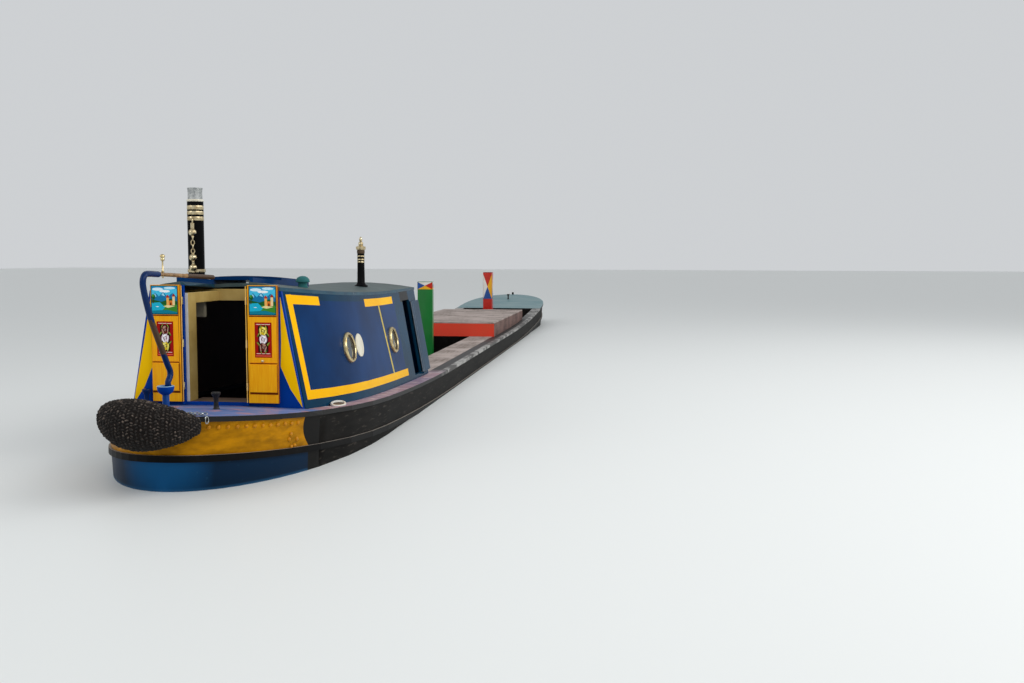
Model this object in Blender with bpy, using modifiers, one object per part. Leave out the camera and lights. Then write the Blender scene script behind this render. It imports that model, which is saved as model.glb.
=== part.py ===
"""Working motor narrowboat, 21.34 m long, as separate pieces.

X runs forward to the bow, Y to port and Z up, in metres. The origin is under the middle of the
hull's length, on the underside of the flat bottom.
"""

import math

import bmesh
import bpy
from mathutils import Matrix, Vector

# Hull
HULL_LENGTH = 21.34
BEAM = 2.13
DRAUGHT = 0.90
FREEBOARD = 0.341
COUNTER_LENGTH = 1.15
PLATE = 0.012
BOTTOM_PLATE = 0.020
GAP = 0.0003
SEAT = 0.0008
RUB = 0.020
STATION = 0.50
STERN_SPLIT = 4
BOW_STRAIGHT = 5

# Sheer: how far the gunwale rises at each end, and over what length
STERN_RISE = 0.178
STERN_RISE_START = 5.0
STERN_RISE_RUN = 5.0
BOW_RISE = 0.400
BOW_RISE_START = 11.0
BOW_RISE_POWER = 2.3

# Plan of the stern, from the parallel sides to the counter's end
STERN_RUN = 2.75
STERN_POWER = 2.25
UXTER_DEPTH = 0.10
WATER_INSET = 0.15
UXTER_INSET = 0.70
GUARD_INSET = 0.12
EDGE_INSET = 0.03

# Plan of the bow at the gunwale and at the bottom
BOW_RUN = 3.0
BOW_POWER = 3.05
BOW_BLUFFNESS = 0.5
FOOT_RUN = 4.6
BOW_LEAD = 0.3
FOOT_POWER = 1.8
FOOT_BLUFFNESS = 0.95
STEM_RAKE = 0.45

# Swim, stern post, skeg and stem
SWIM_LENGTH = 4.25
SWIM_END = -0.10
SWIM_END_HALF = 0.034
POST_WIDTH = 0.060
POST_DEPTH = 0.080
SKEG_HEIGHT = 0.045
SKEG_WIDTH = 0.080
STEM_WIDTH = 0.050
STEM_DEPTH = 0.065
STEM_HEAD = 0.06
STERN_TUBE = 0.06

# Gunwale, guards and decks
GUNWALE_THICK = 0.040
GUNWALE_WIDTH = 0.200
GUARD_HEIGHT = 0.050
GUARD_DROP = 0.275
SIDE_DECK_INNER = 0.45
SIDE_DECK_THICK = 0.030
HOLD_FLOOR_THICK = 0.025
HOLD_FLOOR_INSET = 0.115
HOLD_FLOOR_END = 15.9

# The counter's deck: how far its middle stands over its edge, level with the edge at the stern's end
DECK_CROWN = 0.020
DECK_ROWS = 8
DECK_TIP_HALF = 0.020

# Raised deck over the fore hold, its stand and its box mast
RAISED_START = 10.0
RAISED_END = 14.6
RAISED_INSET = 0.165
RAISED_TOP = 0.600
RAISED_BOARD = 0.030
RAISED_PLANK = 0.025
STAND = (8.30, 0.10, 0.25, 1.37)
MAST = (15.40, 0.21, 0.21, 1.43)

# Cabin
CABIN_LENGTH = 4.16
CABIN_SET_IN = 0.160
CABIN_WALL = 0.030
TUMBLEHOME = 0.180
ROOF_HEIGHT = 1.395
ROOF_RISE = 0.117
ROOF_RISE_RUN = 3.0
ROOF_THICK = 0.030
ROOF_CAMBER = 0.060
ROOF_LAP = 0.030
ROOF_LAP_AFT = 0.004
ROOF_ROWS = 8

# Doorway, doors and sliding hatch
DOORWAY_HALF = 0.272
SILL_HEIGHT = 0.045
DOOR_WIDTH = 0.256
DOOR_THICK = 0.030
DOOR_HEIGHT = 0.960
DOOR_GAP = 0.010
HINGE_RADIUS = 0.010
HINGE_CLEAR = 0.012
HATCH_LENGTH = 0.74
HATCH_OPENING = 0.66
HATCH_HALF = 0.290
HATCH_THICK = 0.025
HATCH_CROWN = 0.012
RUNNER_START = 0.295
RUNNER_WIDTH = 0.030
RUNNER_HEIGHT = 0.035
RUNNER_LENGTH = 1.40

# Windows and the engine hole's side doors
PORTHOLES = ((1.08, 0.93), (2.70, 0.87))
PORTHOLE_RADIUS = 0.105
PORTHOLE_RIM = 0.138
RIM_THICK = 0.035
RIM_BED = 0.003
ENGINE_DOOR_START = 3.46
ENGINE_DOOR_WIDTH = 0.34
ENGINE_DOOR_HEIGHT = 0.86
ENGINE_DOOR_SILL = 0.045
ENGINE_BED = 2.50
ENGINE_LENGTH = 1.20
ENGINE_WELL_HALF = 0.36

# Steering and drive
RUDDER_X = -0.90
STOCK_RADIUS = 0.025
BLADE_FORE = 0.15
BLADE_AFT = 0.43
BLADE_THICK = 0.016
PROP_X = -0.42
PROP_RADIUS = 0.27
PROP_BLADES = 3
SHAFT_HEIGHT = 0.37
SHAFT_RADIUS = 0.0275
BEARING_CLEAR = 0.001

# Roof fittings: x forward of the aft bulkhead, y to port
CHIMNEY_PLACE = (0.65, 0.446)
CHIMNEY_TOP = 2.36
CHIMNEY_RADIUS = 0.070
STACK_PLACE = (3.00, -0.39)
STACK_TOP = 1.99
STACK_RADIUS = 0.045
VENT_PLACE = (0.77, -0.48)
VENT_RADIUS = 0.062
VENT_HEIGHT = 0.100

# Swan neck and tiller bar, from the rudder's axis: x forward, height above the water
NECK_RADIUS = 0.022
NECK_FOOT = 0.040
NECK_ROUTE = ((0.040, 0.832), (0.046, 0.845), (0.062, 0.860), (0.077, 0.880), (0.080, 0.902),
              (0.070, 0.928), (0.038, 0.967), (-0.011, 1.039), (-0.106, 1.175), (-0.197, 1.318),
              (-0.255, 1.437), (-0.295, 1.545), (-0.292, 1.600), (-0.260, 1.630),
              (-0.205, 1.6346), (-0.120, 1.6311), (-0.068, 1.629))
BAR_RADIUS = 0.019
BAR_ROUTE = ((-0.0675, 1.629), (0.88, 1.59))
RAMS_HEAD_RADIUS = 0.060
RAMS_HEAD_HEIGHT = 0.063
RAMS_HEAD_TOP = 0.815

# Mooring dollies and fenders: x forward of the aft bulkhead, y to port
DOLLIES = (("dolly_starboard", -0.39, -0.161), ("dolly_port", -0.06, 0.58))
DOLLY_HEIGHT = 0.138
DOLLY_RADIUS = 0.018
BOW_STUD_BACK = 1.0
FENDER_HEIGHT = 0.595
FENDER_RADIUS = 0.179
FENDER_TIP = 0.050
FENDER_HALF = 0.320
FENDER_TAPER = 1.7
FENDER_TILT = 0.036
BOW_FENDER_DROP = 0.26
BOW_FENDER_RADIUS = 0.14

SEGMENTS = 24

LENGTH_HALF = HULL_LENGTH / 2
STERN_X = -LENGTH_HALF
BULKHEAD_X = STERN_X + COUNTER_LENGTH
WATER = DRAUGHT
SIDE_TOP = DRAUGHT + FREEBOARD
PLATE_HALF = BEAM / 2 - RUB
UXTER = WATER - UXTER_DEPTH
HULL_FLOOR = BOTTOM_PLATE + GAP
CABIN_END = BULKHEAD_X + CABIN_LENGTH
SWIM_START = BULKHEAD_X + SWIM_END + SWIM_LENGTH
BOW_PLATES_X = LENGTH_HALF - STEM_RAKE - FOOT_RUN - BOW_LEAD
FOREDECK_X = LENGTH_HALF - BOW_RUN
SILL = WATER + FREEBOARD + STERN_RISE + SILL_HEIGHT
ENGINE_BED_X = BULKHEAD_X + ENGINE_BED
RAISED_HALF = BEAM / 2 - RAISED_INSET
HOLD_FLOOR_HALF = PLATE_HALF - HOLD_FLOOR_INSET
TAU = math.tau

COLOURS = {
    # name: (red, green, blue, roughness, metallic)
    "hull black": (0.025, 0.025, 0.027, 0.55, 0.0),
    "stern yellow": (0.80, 0.42, 0.02, 0.40, 0.0),
    "boat blue": (0.01, 0.05, 0.22, 0.30, 0.0),
    "deck pink": (0.50, 0.33, 0.32, 0.60, 0.0),
    "deck blue": (0.30, 0.42, 0.58, 0.55, 0.0),
    "scumble": (0.75, 0.38, 0.04, 0.35, 0.0),
    "plank": (0.30, 0.24, 0.20, 0.80, 0.0),
    "red oxide": (0.55, 0.05, 0.02, 0.50, 0.0),
    "green paint": (0.02, 0.25, 0.04, 0.45, 0.0),
    "roof grey": (0.16, 0.20, 0.22, 0.60, 0.0),
    "brass": (0.80, 0.60, 0.20, 0.25, 1.0),
    "steel": (0.35, 0.35, 0.36, 0.35, 1.0),
    "bronze": (0.50, 0.33, 0.15, 0.35, 1.0),
    "rope": (0.07, 0.05, 0.035, 0.95, 0.0),
    "engine green": (0.04, 0.14, 0.08, 0.45, 0.0),
    "vent teal": (0.05, 0.35, 0.35, 0.40, 0.0),
}


def clear_scene():
    for old in list(bpy.data.objects):
        bpy.data.objects.remove(old, do_unlink=True)


def make_collection(name):
    collection = bpy.data.collections.new(name)
    bpy.context.scene.collection.children.link(collection)
    return collection


clear_scene()
BOAT = make_collection("narrowboat")
CUTTERS = make_collection("cutters")


def paint(name):
    material = bpy.data.materials.get(name)
    if material:
        return material
    red, green, blue, roughness, metallic = COLOURS[name]
    material = bpy.data.materials.new(name)
    material.use_nodes = True
    shader = material.node_tree.nodes["Principled BSDF"]
    shader.inputs["Base Color"].default_value = (red, green, blue, 1.0)
    shader.inputs["Roughness"].default_value = roughness
    shader.inputs["Metallic"].default_value = metallic
    return material


def piece(name, bm, colour, collection=BOAT):
    """Turn a bmesh into a named object with its faces outward."""
    bmesh.ops.recalc_face_normals(bm, faces=bm.faces)
    mesh = bpy.data.meshes.new(name)
    bm.to_mesh(mesh)
    bm.free()
    mesh.materials.append(paint(colour))
    item = bpy.data.objects.new(name, mesh)
    collection.objects.link(item)
    return item


def set_origin(item, place):
    """Move an object's origin, and leave its mesh where it is."""
    item.data.transform(Matrix.Translation(-Vector(place)))
    item.location = place


def add_box(bm, low, high):
    size = [b - a for a, b in zip(low, high)]
    middle = [(a + b) / 2 for a, b in zip(low, high)]
    matrix = Matrix.Translation(middle) @ Matrix.Diagonal((*size, 1.0))
    return bmesh.ops.create_cube(bm, size=1.0, matrix=matrix)["verts"]


def box(name, low, high, colour, bevel=0.0):
    bm = bmesh.new()
    add_box(bm, low, high)
    item = piece(name, bm, colour)
    if bevel:
        soften(item, bevel)
    return item


def soften(item, width):
    edge = item.modifiers.new("edge", "BEVEL")
    edge.width = width
    edge.segments = 1
    edge.limit_method = "ANGLE"
    edge.angle_limit = math.radians(40)


def rod(name, start, end, radius, colour, collection=BOAT):
    bm = bmesh.new()
    add_rod(bm, start, end, radius)
    return piece(name, bm, colour, collection)


def add_rod(bm, start, end, radius):
    start, end = Vector(start), Vector(end)
    along = end - start
    turn = along.to_track_quat("Z", "Y").to_matrix().to_4x4()
    matrix = Matrix.Translation((start + end) / 2) @ turn
    bmesh.ops.create_cone(bm, cap_ends=True, segments=SEGMENTS, radius1=radius, radius2=radius,
                          depth=along.length, matrix=matrix)


def loft(name, rings, colour, collection=BOAT):
    """Skin closed rings of equal count one after another, and close the two ends."""
    bm = bmesh.new()
    add_loft(bm, rings)
    return piece(name, bm, colour, collection)


def add_loft(bm, rings):
    loops = [[bm.verts.new(point) for point in ring] for ring in rings]
    for first, second in zip(loops, loops[1:]):
        for i in range(len(first)):
            bm.faces.new((first[i - 1], first[i], second[i], second[i - 1]))
    bm.faces.new(loops[0])
    bm.faces.new(loops[-1])


def turned(name, profile, frame, colour, slope=(0.0, 0.0)):
    """Spin (radius, height) rows, foot first; the foot ring lies on a sloping roof."""
    bm = bmesh.new()
    verts = [bm.verts.new((radius, 0.0, height)) for radius, height in profile]
    edges = [bm.edges.new(pair) for pair in zip(verts, verts[1:])]
    bmesh.ops.spin(bm, geom=verts + edges, cent=(0, 0, 0), axis=(0, 0, 1), angle=TAU,
                   steps=SEGMENTS, use_merge=True)
    bmesh.ops.remove_doubles(bm, verts=bm.verts, dist=1e-5)
    bmesh.ops.holes_fill(bm, edges=[e for e in bm.edges if e.is_boundary], sides=0)
    foot = profile[0][1]
    for vert in bm.verts:
        if abs(vert.co.z - foot) < 1e-6:
            vert.co.z += slope[0] * vert.co.x + slope[1] * vert.co.y
    bmesh.ops.transform(bm, matrix=frame, verts=bm.verts)
    return piece(name, bm, colour)


def boolean(item, other, operation):
    other.hide_render = True
    other.display_type = "WIRE"
    step = item.modifiers.new(operation.lower(), "BOOLEAN")
    step.operation = operation
    step.object = other


def cut_box(item, low, high):
    bm = bmesh.new()
    add_box(bm, low, high)
    boolean(item, piece("cutter box", bm, "steel", CUTTERS), "DIFFERENCE")


def cut_rod(item, start, end, radius):
    boolean(item, rod("cutter rod", start, end, radius, "steel", CUTTERS), "DIFFERENCE")


def both_sides(maker):
    """Make the starboard piece and the port piece."""
    return [maker(word, sign) for word, sign in (("starboard", -1), ("port", 1))]


# The hull's lines

def spread(count):
    return [i / count for i in range(count + 1)]


def mix(first, second, share):
    return first + (second - first) * share


def stations(first, last):
    """Shared places along the hull, so that neighbours bend together."""
    count = int((BOW_PLATES_X - BULKHEAD_X - 0.1) / STATION)
    places = [BULKHEAD_X + STATION * i for i in range(count + 1)]
    places += [mix(BOW_PLATES_X, FOREDECK_X, step) for step in spread(BOW_STRAIGHT)]
    return [first] + [x for x in places if first + 0.05 < x < last - 0.05] + [last]


def fine_stations(first, last):
    """The same places, with more of them where the stern narrows and plates twist."""
    places = stations(first, last)
    fine = []
    for aft, fore in zip(places, places[1:]):
        count = STERN_SPLIT if aft < STERN_X + STERN_RUN else 1
        fine += [mix(aft, fore, step) for step in spread(count)[:-1]]
    return fine + [last]


def between_stations(height, x):
    """A height or width that runs straight from one station to the next, as the plates do."""
    if not BULKHEAD_X <= x < BOW_PLATES_X:
        return height(x)
    number = math.floor((x - BULKHEAD_X) / STATION + 1e-6)
    aft = BULKHEAD_X + STATION * number
    return mix(height(aft), height(aft + STATION), (x - aft) / STATION)


def sheer(x):
    """Height of the gunwale's top."""
    return between_stations(smooth_sheer, x)


def smooth_sheer(x):
    aft = max(0.0, (BULKHEAD_X + STERN_RISE_START - x) / STERN_RISE_RUN)
    start = BULKHEAD_X + BOW_RISE_START
    fore = max(0.0, (x - start) / (LENGTH_HALF - start))
    return SIDE_TOP + STERN_RISE * aft ** 2 + BOW_RISE * fore ** BOW_RISE_POWER


def guard_top(x):
    return sheer(x) - GUARD_DROP


def guard_foot(x):
    return sheer(x) - GUARD_DROP - GUARD_HEIGHT


def deck_edge(x):
    """Height of the deck's edge, which leaves the sheer's line and rises round the counter."""
    aft = max(0.0, (BULKHEAD_X - x) / COUNTER_LENGTH)
    return sheer(x) + DECK_CROWN * aft ** 2


def deck_top(x, y):
    """Height of the counter's deck, crowned across by what its edge still lacks."""
    half = stern_half(BEAM / 2, STERN_X, x)
    crown = sheer(x) + DECK_CROWN - deck_edge(x)
    return deck_edge(x) + crown * max(0.0, 1 - (y / max(half, GAP)) ** 2)


def plate_top(x):
    return deck_edge(x) - GUNWALE_THICK - GAP


STERN_LEVELS = (
    # height at a place x, how far the level's end lies in from the counter's end
    (lambda x: UXTER, UXTER_INSET),
    (lambda x: WATER, WATER_INSET),
    (guard_foot, GUARD_INSET),
    (guard_top, GUARD_INSET),
    (plate_top, EDGE_INSET),
)

BOW_LEVELS = (
    # height at a place x, fullness of the plan from 0 (foot) to 1 (gunwale)
    (lambda x: HULL_FLOOR, 0.0),
    (lambda x: mix(HULL_FLOOR, guard_foot(x), 0.3), 0.25),
    (lambda x: mix(HULL_FLOOR, guard_foot(x), 0.65), 0.55),
    (guard_foot, 0.86),
    (guard_top, 0.89),
    (plate_top, 1.0),
)


def stern_curve(half, end, first, count=12):
    """Points from x = first, round to the centreline at x = end."""
    start = STERN_X + STERN_RUN
    run = start - end
    begin = math.asin(min(1.0, ((start - first) / run) ** (STERN_POWER / 2)))
    points = []
    for step in spread(count):
        angle = mix(begin, math.pi / 2, step)
        points.append((start - run * math.sin(angle) ** (2 / STERN_POWER), half * math.cos(angle)))
    return points


def stern_half(half, end, x):
    start = STERN_X + STERN_RUN
    share = max(0.0, (start - x) / (start - end))
    return half * math.sqrt(max(0.0, 1 - share ** STERN_POWER))


def nose(fullness):
    return LENGTH_HALF - STEM_RAKE * (1 - fullness) ** 2


def bow_curve(fullness, inset=0.0, count=14):
    """Points from the bow plates' aft edge to the stem, fuller at the gunwale than at the foot."""
    start = nose(fullness) - mix(FOOT_RUN, BOW_RUN, fullness)
    end = nose(fullness) - inset * mix(3.0, 1.0, fullness)
    power = mix(FOOT_POWER, BOW_POWER, fullness)
    bluff = mix(FOOT_BLUFFNESS, BOW_BLUFFNESS, fullness)
    half = PLATE_HALF - inset
    points = [(mix(BOW_PLATES_X, start, step), half) for step in spread(BOW_STRAIGHT)[:-1]]
    for step in spread(count):
        angle = math.pi / 2 * step
        x = start + (end - start) * math.sin(angle) ** (2 / power)
        points.append((x, max(half * math.cos(angle) ** (2 * bluff), GAP)))
    return points


def offset(line, distance):
    """Move a plan line outward; its two ends that lie on the centreline move along X."""
    moved = []
    for i, (x, y) in enumerate(line):
        before = line[max(0, i - 1)]
        after = line[min(len(line) - 1, i + 1)]
        along = Vector((after[0] - before[0], after[1] - before[1])).normalized()
        out = Vector((-along.y, along.x))
        if y < 2 * GAP:
            out = Vector((math.copysign(1.0, x), 0.0))
        moved.append((x + out.x * distance, max(y + out.y * distance, GAP)))
    return moved


def swim_half(x):
    share = (x - BULKHEAD_X - SWIM_END) / SWIM_LENGTH
    share = min(1.0, max(0.0, share))
    return mix(SWIM_END_HALF, PLATE_HALF, share ** 2 * (3 - 2 * share))


def guard_line(stern_row, bow_row):
    """One side's plating at a guard's edge, from the counter's end to the stem."""
    height, inset = STERN_LEVELS[stern_row]
    end = STERN_X + inset
    line = list(reversed(stern_curve(PLATE_HALF, end, BULKHEAD_X)))
    line[0] = (line[0][0], GAP)
    line += [(x, stern_half(PLATE_HALF, end, x))
             for x in stations(BULKHEAD_X, BOW_PLATES_X)[1:-1]]
    return line + bow_curve(BOW_LEVELS[bow_row][1])


# Hull pieces

def make_bottom():
    swim = []
    for step in spread(12):
        x = BULKHEAD_X + SWIM_END + SWIM_LENGTH * step
        swim.append((x, swim_half(x)))
    side = swim + bow_curve(0.0)
    outline = side + [(x, -y) for x, y in reversed(side)]
    rings = [[(x, y, z) for x, y in outline] for z in (0.0, BOTTOM_PLATE)]
    return loft("bottom_plate", rings, "hull black")


def make_side_plates(word, sign):
    rings = []
    for x in stations(SWIM_START + GAP, BOW_PLATES_X - GAP):
        outer, inner = sign * PLATE_HALF, sign * (PLATE_HALF - PLATE)
        rings.append([(x, outer, HULL_FLOOR), (x, outer, plate_top(x)),
                      (x, inner, plate_top(x)), (x, inner, HULL_FLOOR)])
    return loft("side_plates_" + word, rings, "hull black")


def make_bow_plates(word, sign):
    outer = [bow_curve(fullness) for height, fullness in BOW_LEVELS]
    inner = [bow_curve(fullness, PLATE) for height, fullness in BOW_LEVELS]
    heights = [height for height, fullness in BOW_LEVELS]
    rings = []
    for column in range(len(outer[0])):
        ring = [(line[column][0], sign * line[column][1], height(line[column][0]))
                for line, height in zip(outer, heights)]
        ring += [(line[column][0], sign * line[column][1], height(line[column][0]))
                 for line, height in reversed(list(zip(inner, heights)))]
        rings.append(ring)
    return loft("bow_plates_" + word, rings, "hull black")


def make_swim_plates(word, sign):
    rings = []
    for step in spread(12):
        x = BULKHEAD_X + SWIM_END + (SWIM_LENGTH - GAP) * step
        outer = swim_half(x)
        inner = outer - PLATE
        top = UXTER - GAP
        rings.append([(x, sign * outer, HULL_FLOOR), (x, sign * outer, top),
                      (x, sign * inner, top), (x, sign * inner, HULL_FLOOR)])
    return loft("swim_plates_" + word, rings, "hull black")


def make_quarter_plates(word, sign):
    """The upper side of the hull by the cabin, above the swim."""
    rings = []
    for x in fine_stations(BULKHEAD_X + GAP, SWIM_START):
        outer = [(between_stations(lambda place: stern_half(PLATE_HALF, STERN_X + inset, place), x),
                  height(x)) for height, inset in STERN_LEVELS]
        ring = [(x, sign * y, z) for y, z in outer]
        ring += [(x, sign * (y - PLATE), z) for y, z in reversed(outer)]
        rings.append(ring)
    return loft("quarter_plates_" + word, rings, "hull black")


def add_decked(bm, rings):
    """A body whose rings run round the stern, closed below and above by strips across."""
    loops = [[bm.verts.new(point) for point in ring] for ring in rings]
    for lower, upper in zip(loops, loops[1:]):
        for i in range(len(lower)):
            bm.faces.new((lower[i - 1], lower[i], upper[i], upper[i - 1]))
    for loop in (loops[0], loops[-1]):
        last = len(loop) - 1
        for i in range(last // 2):
            corners = (loop[i], loop[i + 1], loop[last - i - 1], loop[last - i])
            bm.faces.new(list(dict.fromkeys(corners)))


def round_stern(half, end, height):
    side = stern_curve(half, end, BULKHEAD_X)
    outline = side + [(x, -y) for x, y in reversed(side[:-1])]
    return [(x, y, height(x)) for x, y in outline]


def make_counter():
    """The stern's upper body, solid because it is decked over."""
    bm = bmesh.new()
    add_decked(bm, [round_stern(PLATE_HALF, STERN_X + inset, height)
                    for height, inset in STERN_LEVELS])
    counter = piece("counter", bm, "stern yellow")
    cut_stock_hole(counter, STOCK_RADIUS + 0.006)
    return counter


def cut_stock_hole(item, radius):
    x = BULKHEAD_X + RUDDER_X
    cut_rod(item, (x, 0, 0), (x, 0, SIDE_TOP + 1), radius)


def make_counter_deck():
    rings = []
    for x, half in stern_curve(BEAM / 2, STERN_X, BULKHEAD_X):
        half = max(half, DECK_TIP_HALF)
        low = deck_edge(x) - GUNWALE_THICK
        across = [half * (2 * step - 1) for step in spread(DECK_ROWS)]
        rings.append([(x, half, low), (x, -half, low)] + [(x, y, deck_top(x, y)) for y in across])
    deck = loft("counter_deck", rings, "deck blue")
    cut_stock_hole(deck, STOCK_RADIUS + BEARING_CLEAR)
    return deck


def make_uxter_plate():
    """The level plate that closes the ledge over the swim, and carries the cabin's floor."""
    side = []
    for x in stations(BULKHEAD_X + GAP, CABIN_END - CABIN_WALL - GAP):
        side.append((x, stern_half(PLATE_HALF, STERN_X + UXTER_INSET, x) - PLATE - SEAT))
    outline = side + [(x, -y) for x, y in reversed(side)]
    rings = [[(x, y, z) for x, y in outline] for z in (UXTER, UXTER + PLATE)]
    plate = loft("uxter_plate", rings, "hull black")
    cut_box(plate, (ENGINE_BED_X, -ENGINE_WELL_HALF, 0.0),
            (CABIN_END - 0.10, ENGINE_WELL_HALF, SIDE_TOP))
    return plate


def make_skeg():
    """Stern post with the stern tube through it, and the bar that carries the rudder's foot."""
    post_aft = BULKHEAD_X + SWIM_END - POST_DEPTH
    post_fore = BULKHEAD_X + SWIM_END - GAP
    bm = bmesh.new()
    add_box(bm, (post_aft, -POST_WIDTH / 2, 0.0), (post_fore, POST_WIDTH / 2, UXTER - GAP))
    post = piece("skeg", bm, "hull black")
    bm = bmesh.new()
    add_box(bm, (BULKHEAD_X + RUDDER_X - 0.08, -SKEG_WIDTH / 2, 0.0),
            (post_fore, SKEG_WIDTH / 2, SKEG_HEIGHT))
    boolean(post, piece("skeg bar", bm, "hull black", CUTTERS), "UNION")
    tube = rod("stern tube", (post_aft - STERN_TUBE, 0, SHAFT_HEIGHT),
               (post_fore, 0, SHAFT_HEIGHT), SHAFT_RADIUS + 0.025, "steel", CUTTERS)
    boolean(post, tube, "UNION")
    cut_rod(post, (post_aft - 0.5, 0, SHAFT_HEIGHT), (post_fore + 0.5, 0, SHAFT_HEIGHT),
            SHAFT_RADIUS + BEARING_CLEAR)
    return post


def make_stem():
    """A bar up the nose, stepped forward at the head to pass the foredeck's edge."""
    levels = [(nose(fullness), height(nose(fullness)), SEAT) for height, fullness in BOW_LEVELS]
    top = levels.pop()
    levels.append((top[0], top[1] - 0.004, SEAT))
    levels.append((top[0], top[1] - 0.003, RUB + SEAT))
    levels.append((LENGTH_HALF, sheer(LENGTH_HALF) + STEM_HEAD, RUB + SEAT))
    rings = []
    for x, z, back in levels:
        corners = ((back, -1), (STEM_DEPTH, -1), (STEM_DEPTH, 1), (back, 1))
        rings.append([(x + depth, side * STEM_WIDTH / 2, z) for depth, side in corners])
    return loft("stem_post", rings, "hull black")


def make_guard(word, sign):
    rings = []
    foot, top = guard_line(2, 3), guard_line(3, 4)
    inner = [offset(line, GAP) for line in (foot, top)]
    outer = [offset(line, RUB) for line in (foot, top)]
    for i in range(len(foot)):
        nearest = STEM_WIDTH / 2 + GAP if i == len(foot) - 1 else GAP
        corners = ((outer[0], guard_foot), (outer[1], guard_top),
                   (inner[1], guard_top), (inner[0], guard_foot))
        rings.append([(line[i][0], sign * max(line[i][1], nearest), height(foot[i][0]))
                      for line, height in corners])
    return loft("guard_" + word, rings, "hull black")


def make_gunwale(word, sign):
    rings = []
    for x in stations(BULKHEAD_X + GAP, FOREDECK_X - GAP):
        outer = stern_half(BEAM / 2, STERN_X, x)
        inner = outer - GUNWALE_WIDTH
        top, low = sheer(x), sheer(x) - GUNWALE_THICK
        rings.append([(x, sign * outer, low), (x, sign * outer, top),
                      (x, sign * inner, top), (x, sign * inner, low)])
    return loft("gunwale_" + word, rings, "deck pink")


def make_foredeck():
    side = [point for point in bow_curve(1.0) if point[0] > FOREDECK_X - 0.01]
    side = offset(side, RUB)
    rings = []
    for x, y in side[:-1]:
        top, low = sheer(x), sheer(x) - GUNWALE_THICK
        rings.append([(x, -y, low), (x, -y, top), (x, y, top), (x, y, low)])
    return loft("foredeck", rings, "deck blue")


# Hold

def make_hold_floor():
    low = HULL_FLOOR + GAP
    return box("hold_floor", (CABIN_END + 0.05, -HOLD_FLOOR_HALF, low),
               (BULKHEAD_X + HOLD_FLOOR_END, HOLD_FLOOR_HALF, low + HOLD_FLOOR_THICK), "plank")


def make_side_deck(word, sign):
    rings = []
    outer = BEAM / 2 - GUNWALE_WIDTH - GAP
    for x in stations(CABIN_END + GAP, BULKHEAD_X + RAISED_START - GAP):
        top, low = sheer(x), sheer(x) - SIDE_DECK_THICK
        rings.append([(x, sign * outer, low), (x, sign * outer, top),
                      (x, sign * SIDE_DECK_INNER, top), (x, sign * SIDE_DECK_INNER, low)])
    return loft("side_deck_" + word, rings, "plank")


def make_raised_coaming():
    start, end = BULKHEAD_X + RAISED_START, BULKHEAD_X + RAISED_END
    top = WATER + RAISED_TOP - RAISED_PLANK - GAP
    rings = []
    for x in stations(start, end):
        low = sheer(x) + SEAT
        rings.append([(x, -RAISED_HALF, low), (x, -RAISED_HALF, top),
                      (x, RAISED_HALF, top), (x, RAISED_HALF, low)])
    coaming = loft("raised_coaming", rings, "red oxide")
    inner = RAISED_HALF - RAISED_BOARD
    cut_box(coaming, (start + RAISED_BOARD, -inner, 0.0), (end - RAISED_BOARD, inner, top + 1.0))
    return coaming


def make_raised_deck():
    top = WATER + RAISED_TOP
    return box("raised_deck", (BULKHEAD_X + RAISED_START, -RAISED_HALF, top - RAISED_PLANK),
               (BULKHEAD_X + RAISED_END, RAISED_HALF, top), "plank")


def make_post(name, row, colour):
    x, length, width, top = row
    foot = HULL_FLOOR + HOLD_FLOOR_THICK + 2 * GAP
    x += BULKHEAD_X
    return box(name, (x - length / 2, -width / 2, foot), (x + length / 2, width / 2, WATER + top),
               colour, 0.008)


def bow_half(fullness, x):
    run = mix(FOOT_RUN, BOW_RUN, fullness)
    share = min(1.0, max(0.0, (x - nose(fullness) + run) / run))
    power = mix(FOOT_POWER, BOW_POWER, fullness)
    bluff = mix(FOOT_BLUFFNESS, BOW_BLUFFNESS, fullness)
    return PLATE_HALF * (1 - share ** power) ** bluff


def cross_plate(name, outline, x, thickness, colour):
    """A wall across the boat from one side's (y, z) outline, foot first."""
    whole = outline + [(-y, z) for y, z in reversed(outline)]
    rings = [[(place, y, z) for y, z in whole] for place in (x, x + thickness)]
    return loft(name, rings, colour)


def make_fore_bulkhead():
    x = FOREDECK_X
    outline = [(bow_half(fullness, x) - PLATE - 0.012, height(x)) for height, fullness in BOW_LEVELS]
    return cross_plate("fore_bulkhead", outline, x, PLATE, "hull black")


# Cabin

def roof_edge(x):
    return between_stations(smooth_roof_edge, x)


def smooth_roof_edge(x):
    rise = max(0.0, 1 - (x - BULKHEAD_X) / ROOF_RISE_RUN)
    return WATER + ROOF_HEIGHT + ROOF_RISE * rise ** 2


def cabin_base(x):
    return stern_half(BEAM / 2, STERN_X, x) - CABIN_SET_IN


def roof_half(x):
    return between_stations(cabin_base, x) - TUMBLEHOME


def camber(share):
    """Rise over the roof's edge, from the starboard edge (0) to the port edge (1)."""
    return ROOF_CAMBER * (1 - (2 * share - 1) ** 2)


def roof_top(x, y):
    """Height of the roof's top, flat from one row of its points to the next."""
    place = ROOF_ROWS * (y / roof_half(x) + 1) / 2
    row = min(ROOF_ROWS - 1, max(0, math.floor(place)))
    near, far = (camber((row + step) / ROOF_ROWS) for step in (0, 1))
    return roof_edge(x) + mix(near, far, place - row)


def wall_corners(x, sign):
    """Foot and head of a cabin side's outer face."""
    foot = Vector((x, sign * cabin_base(x), sheer(x) + SEAT))
    head = Vector((x, sign * roof_half(x), roof_edge(x) - ROOF_THICK - GAP))
    return foot, head


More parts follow.
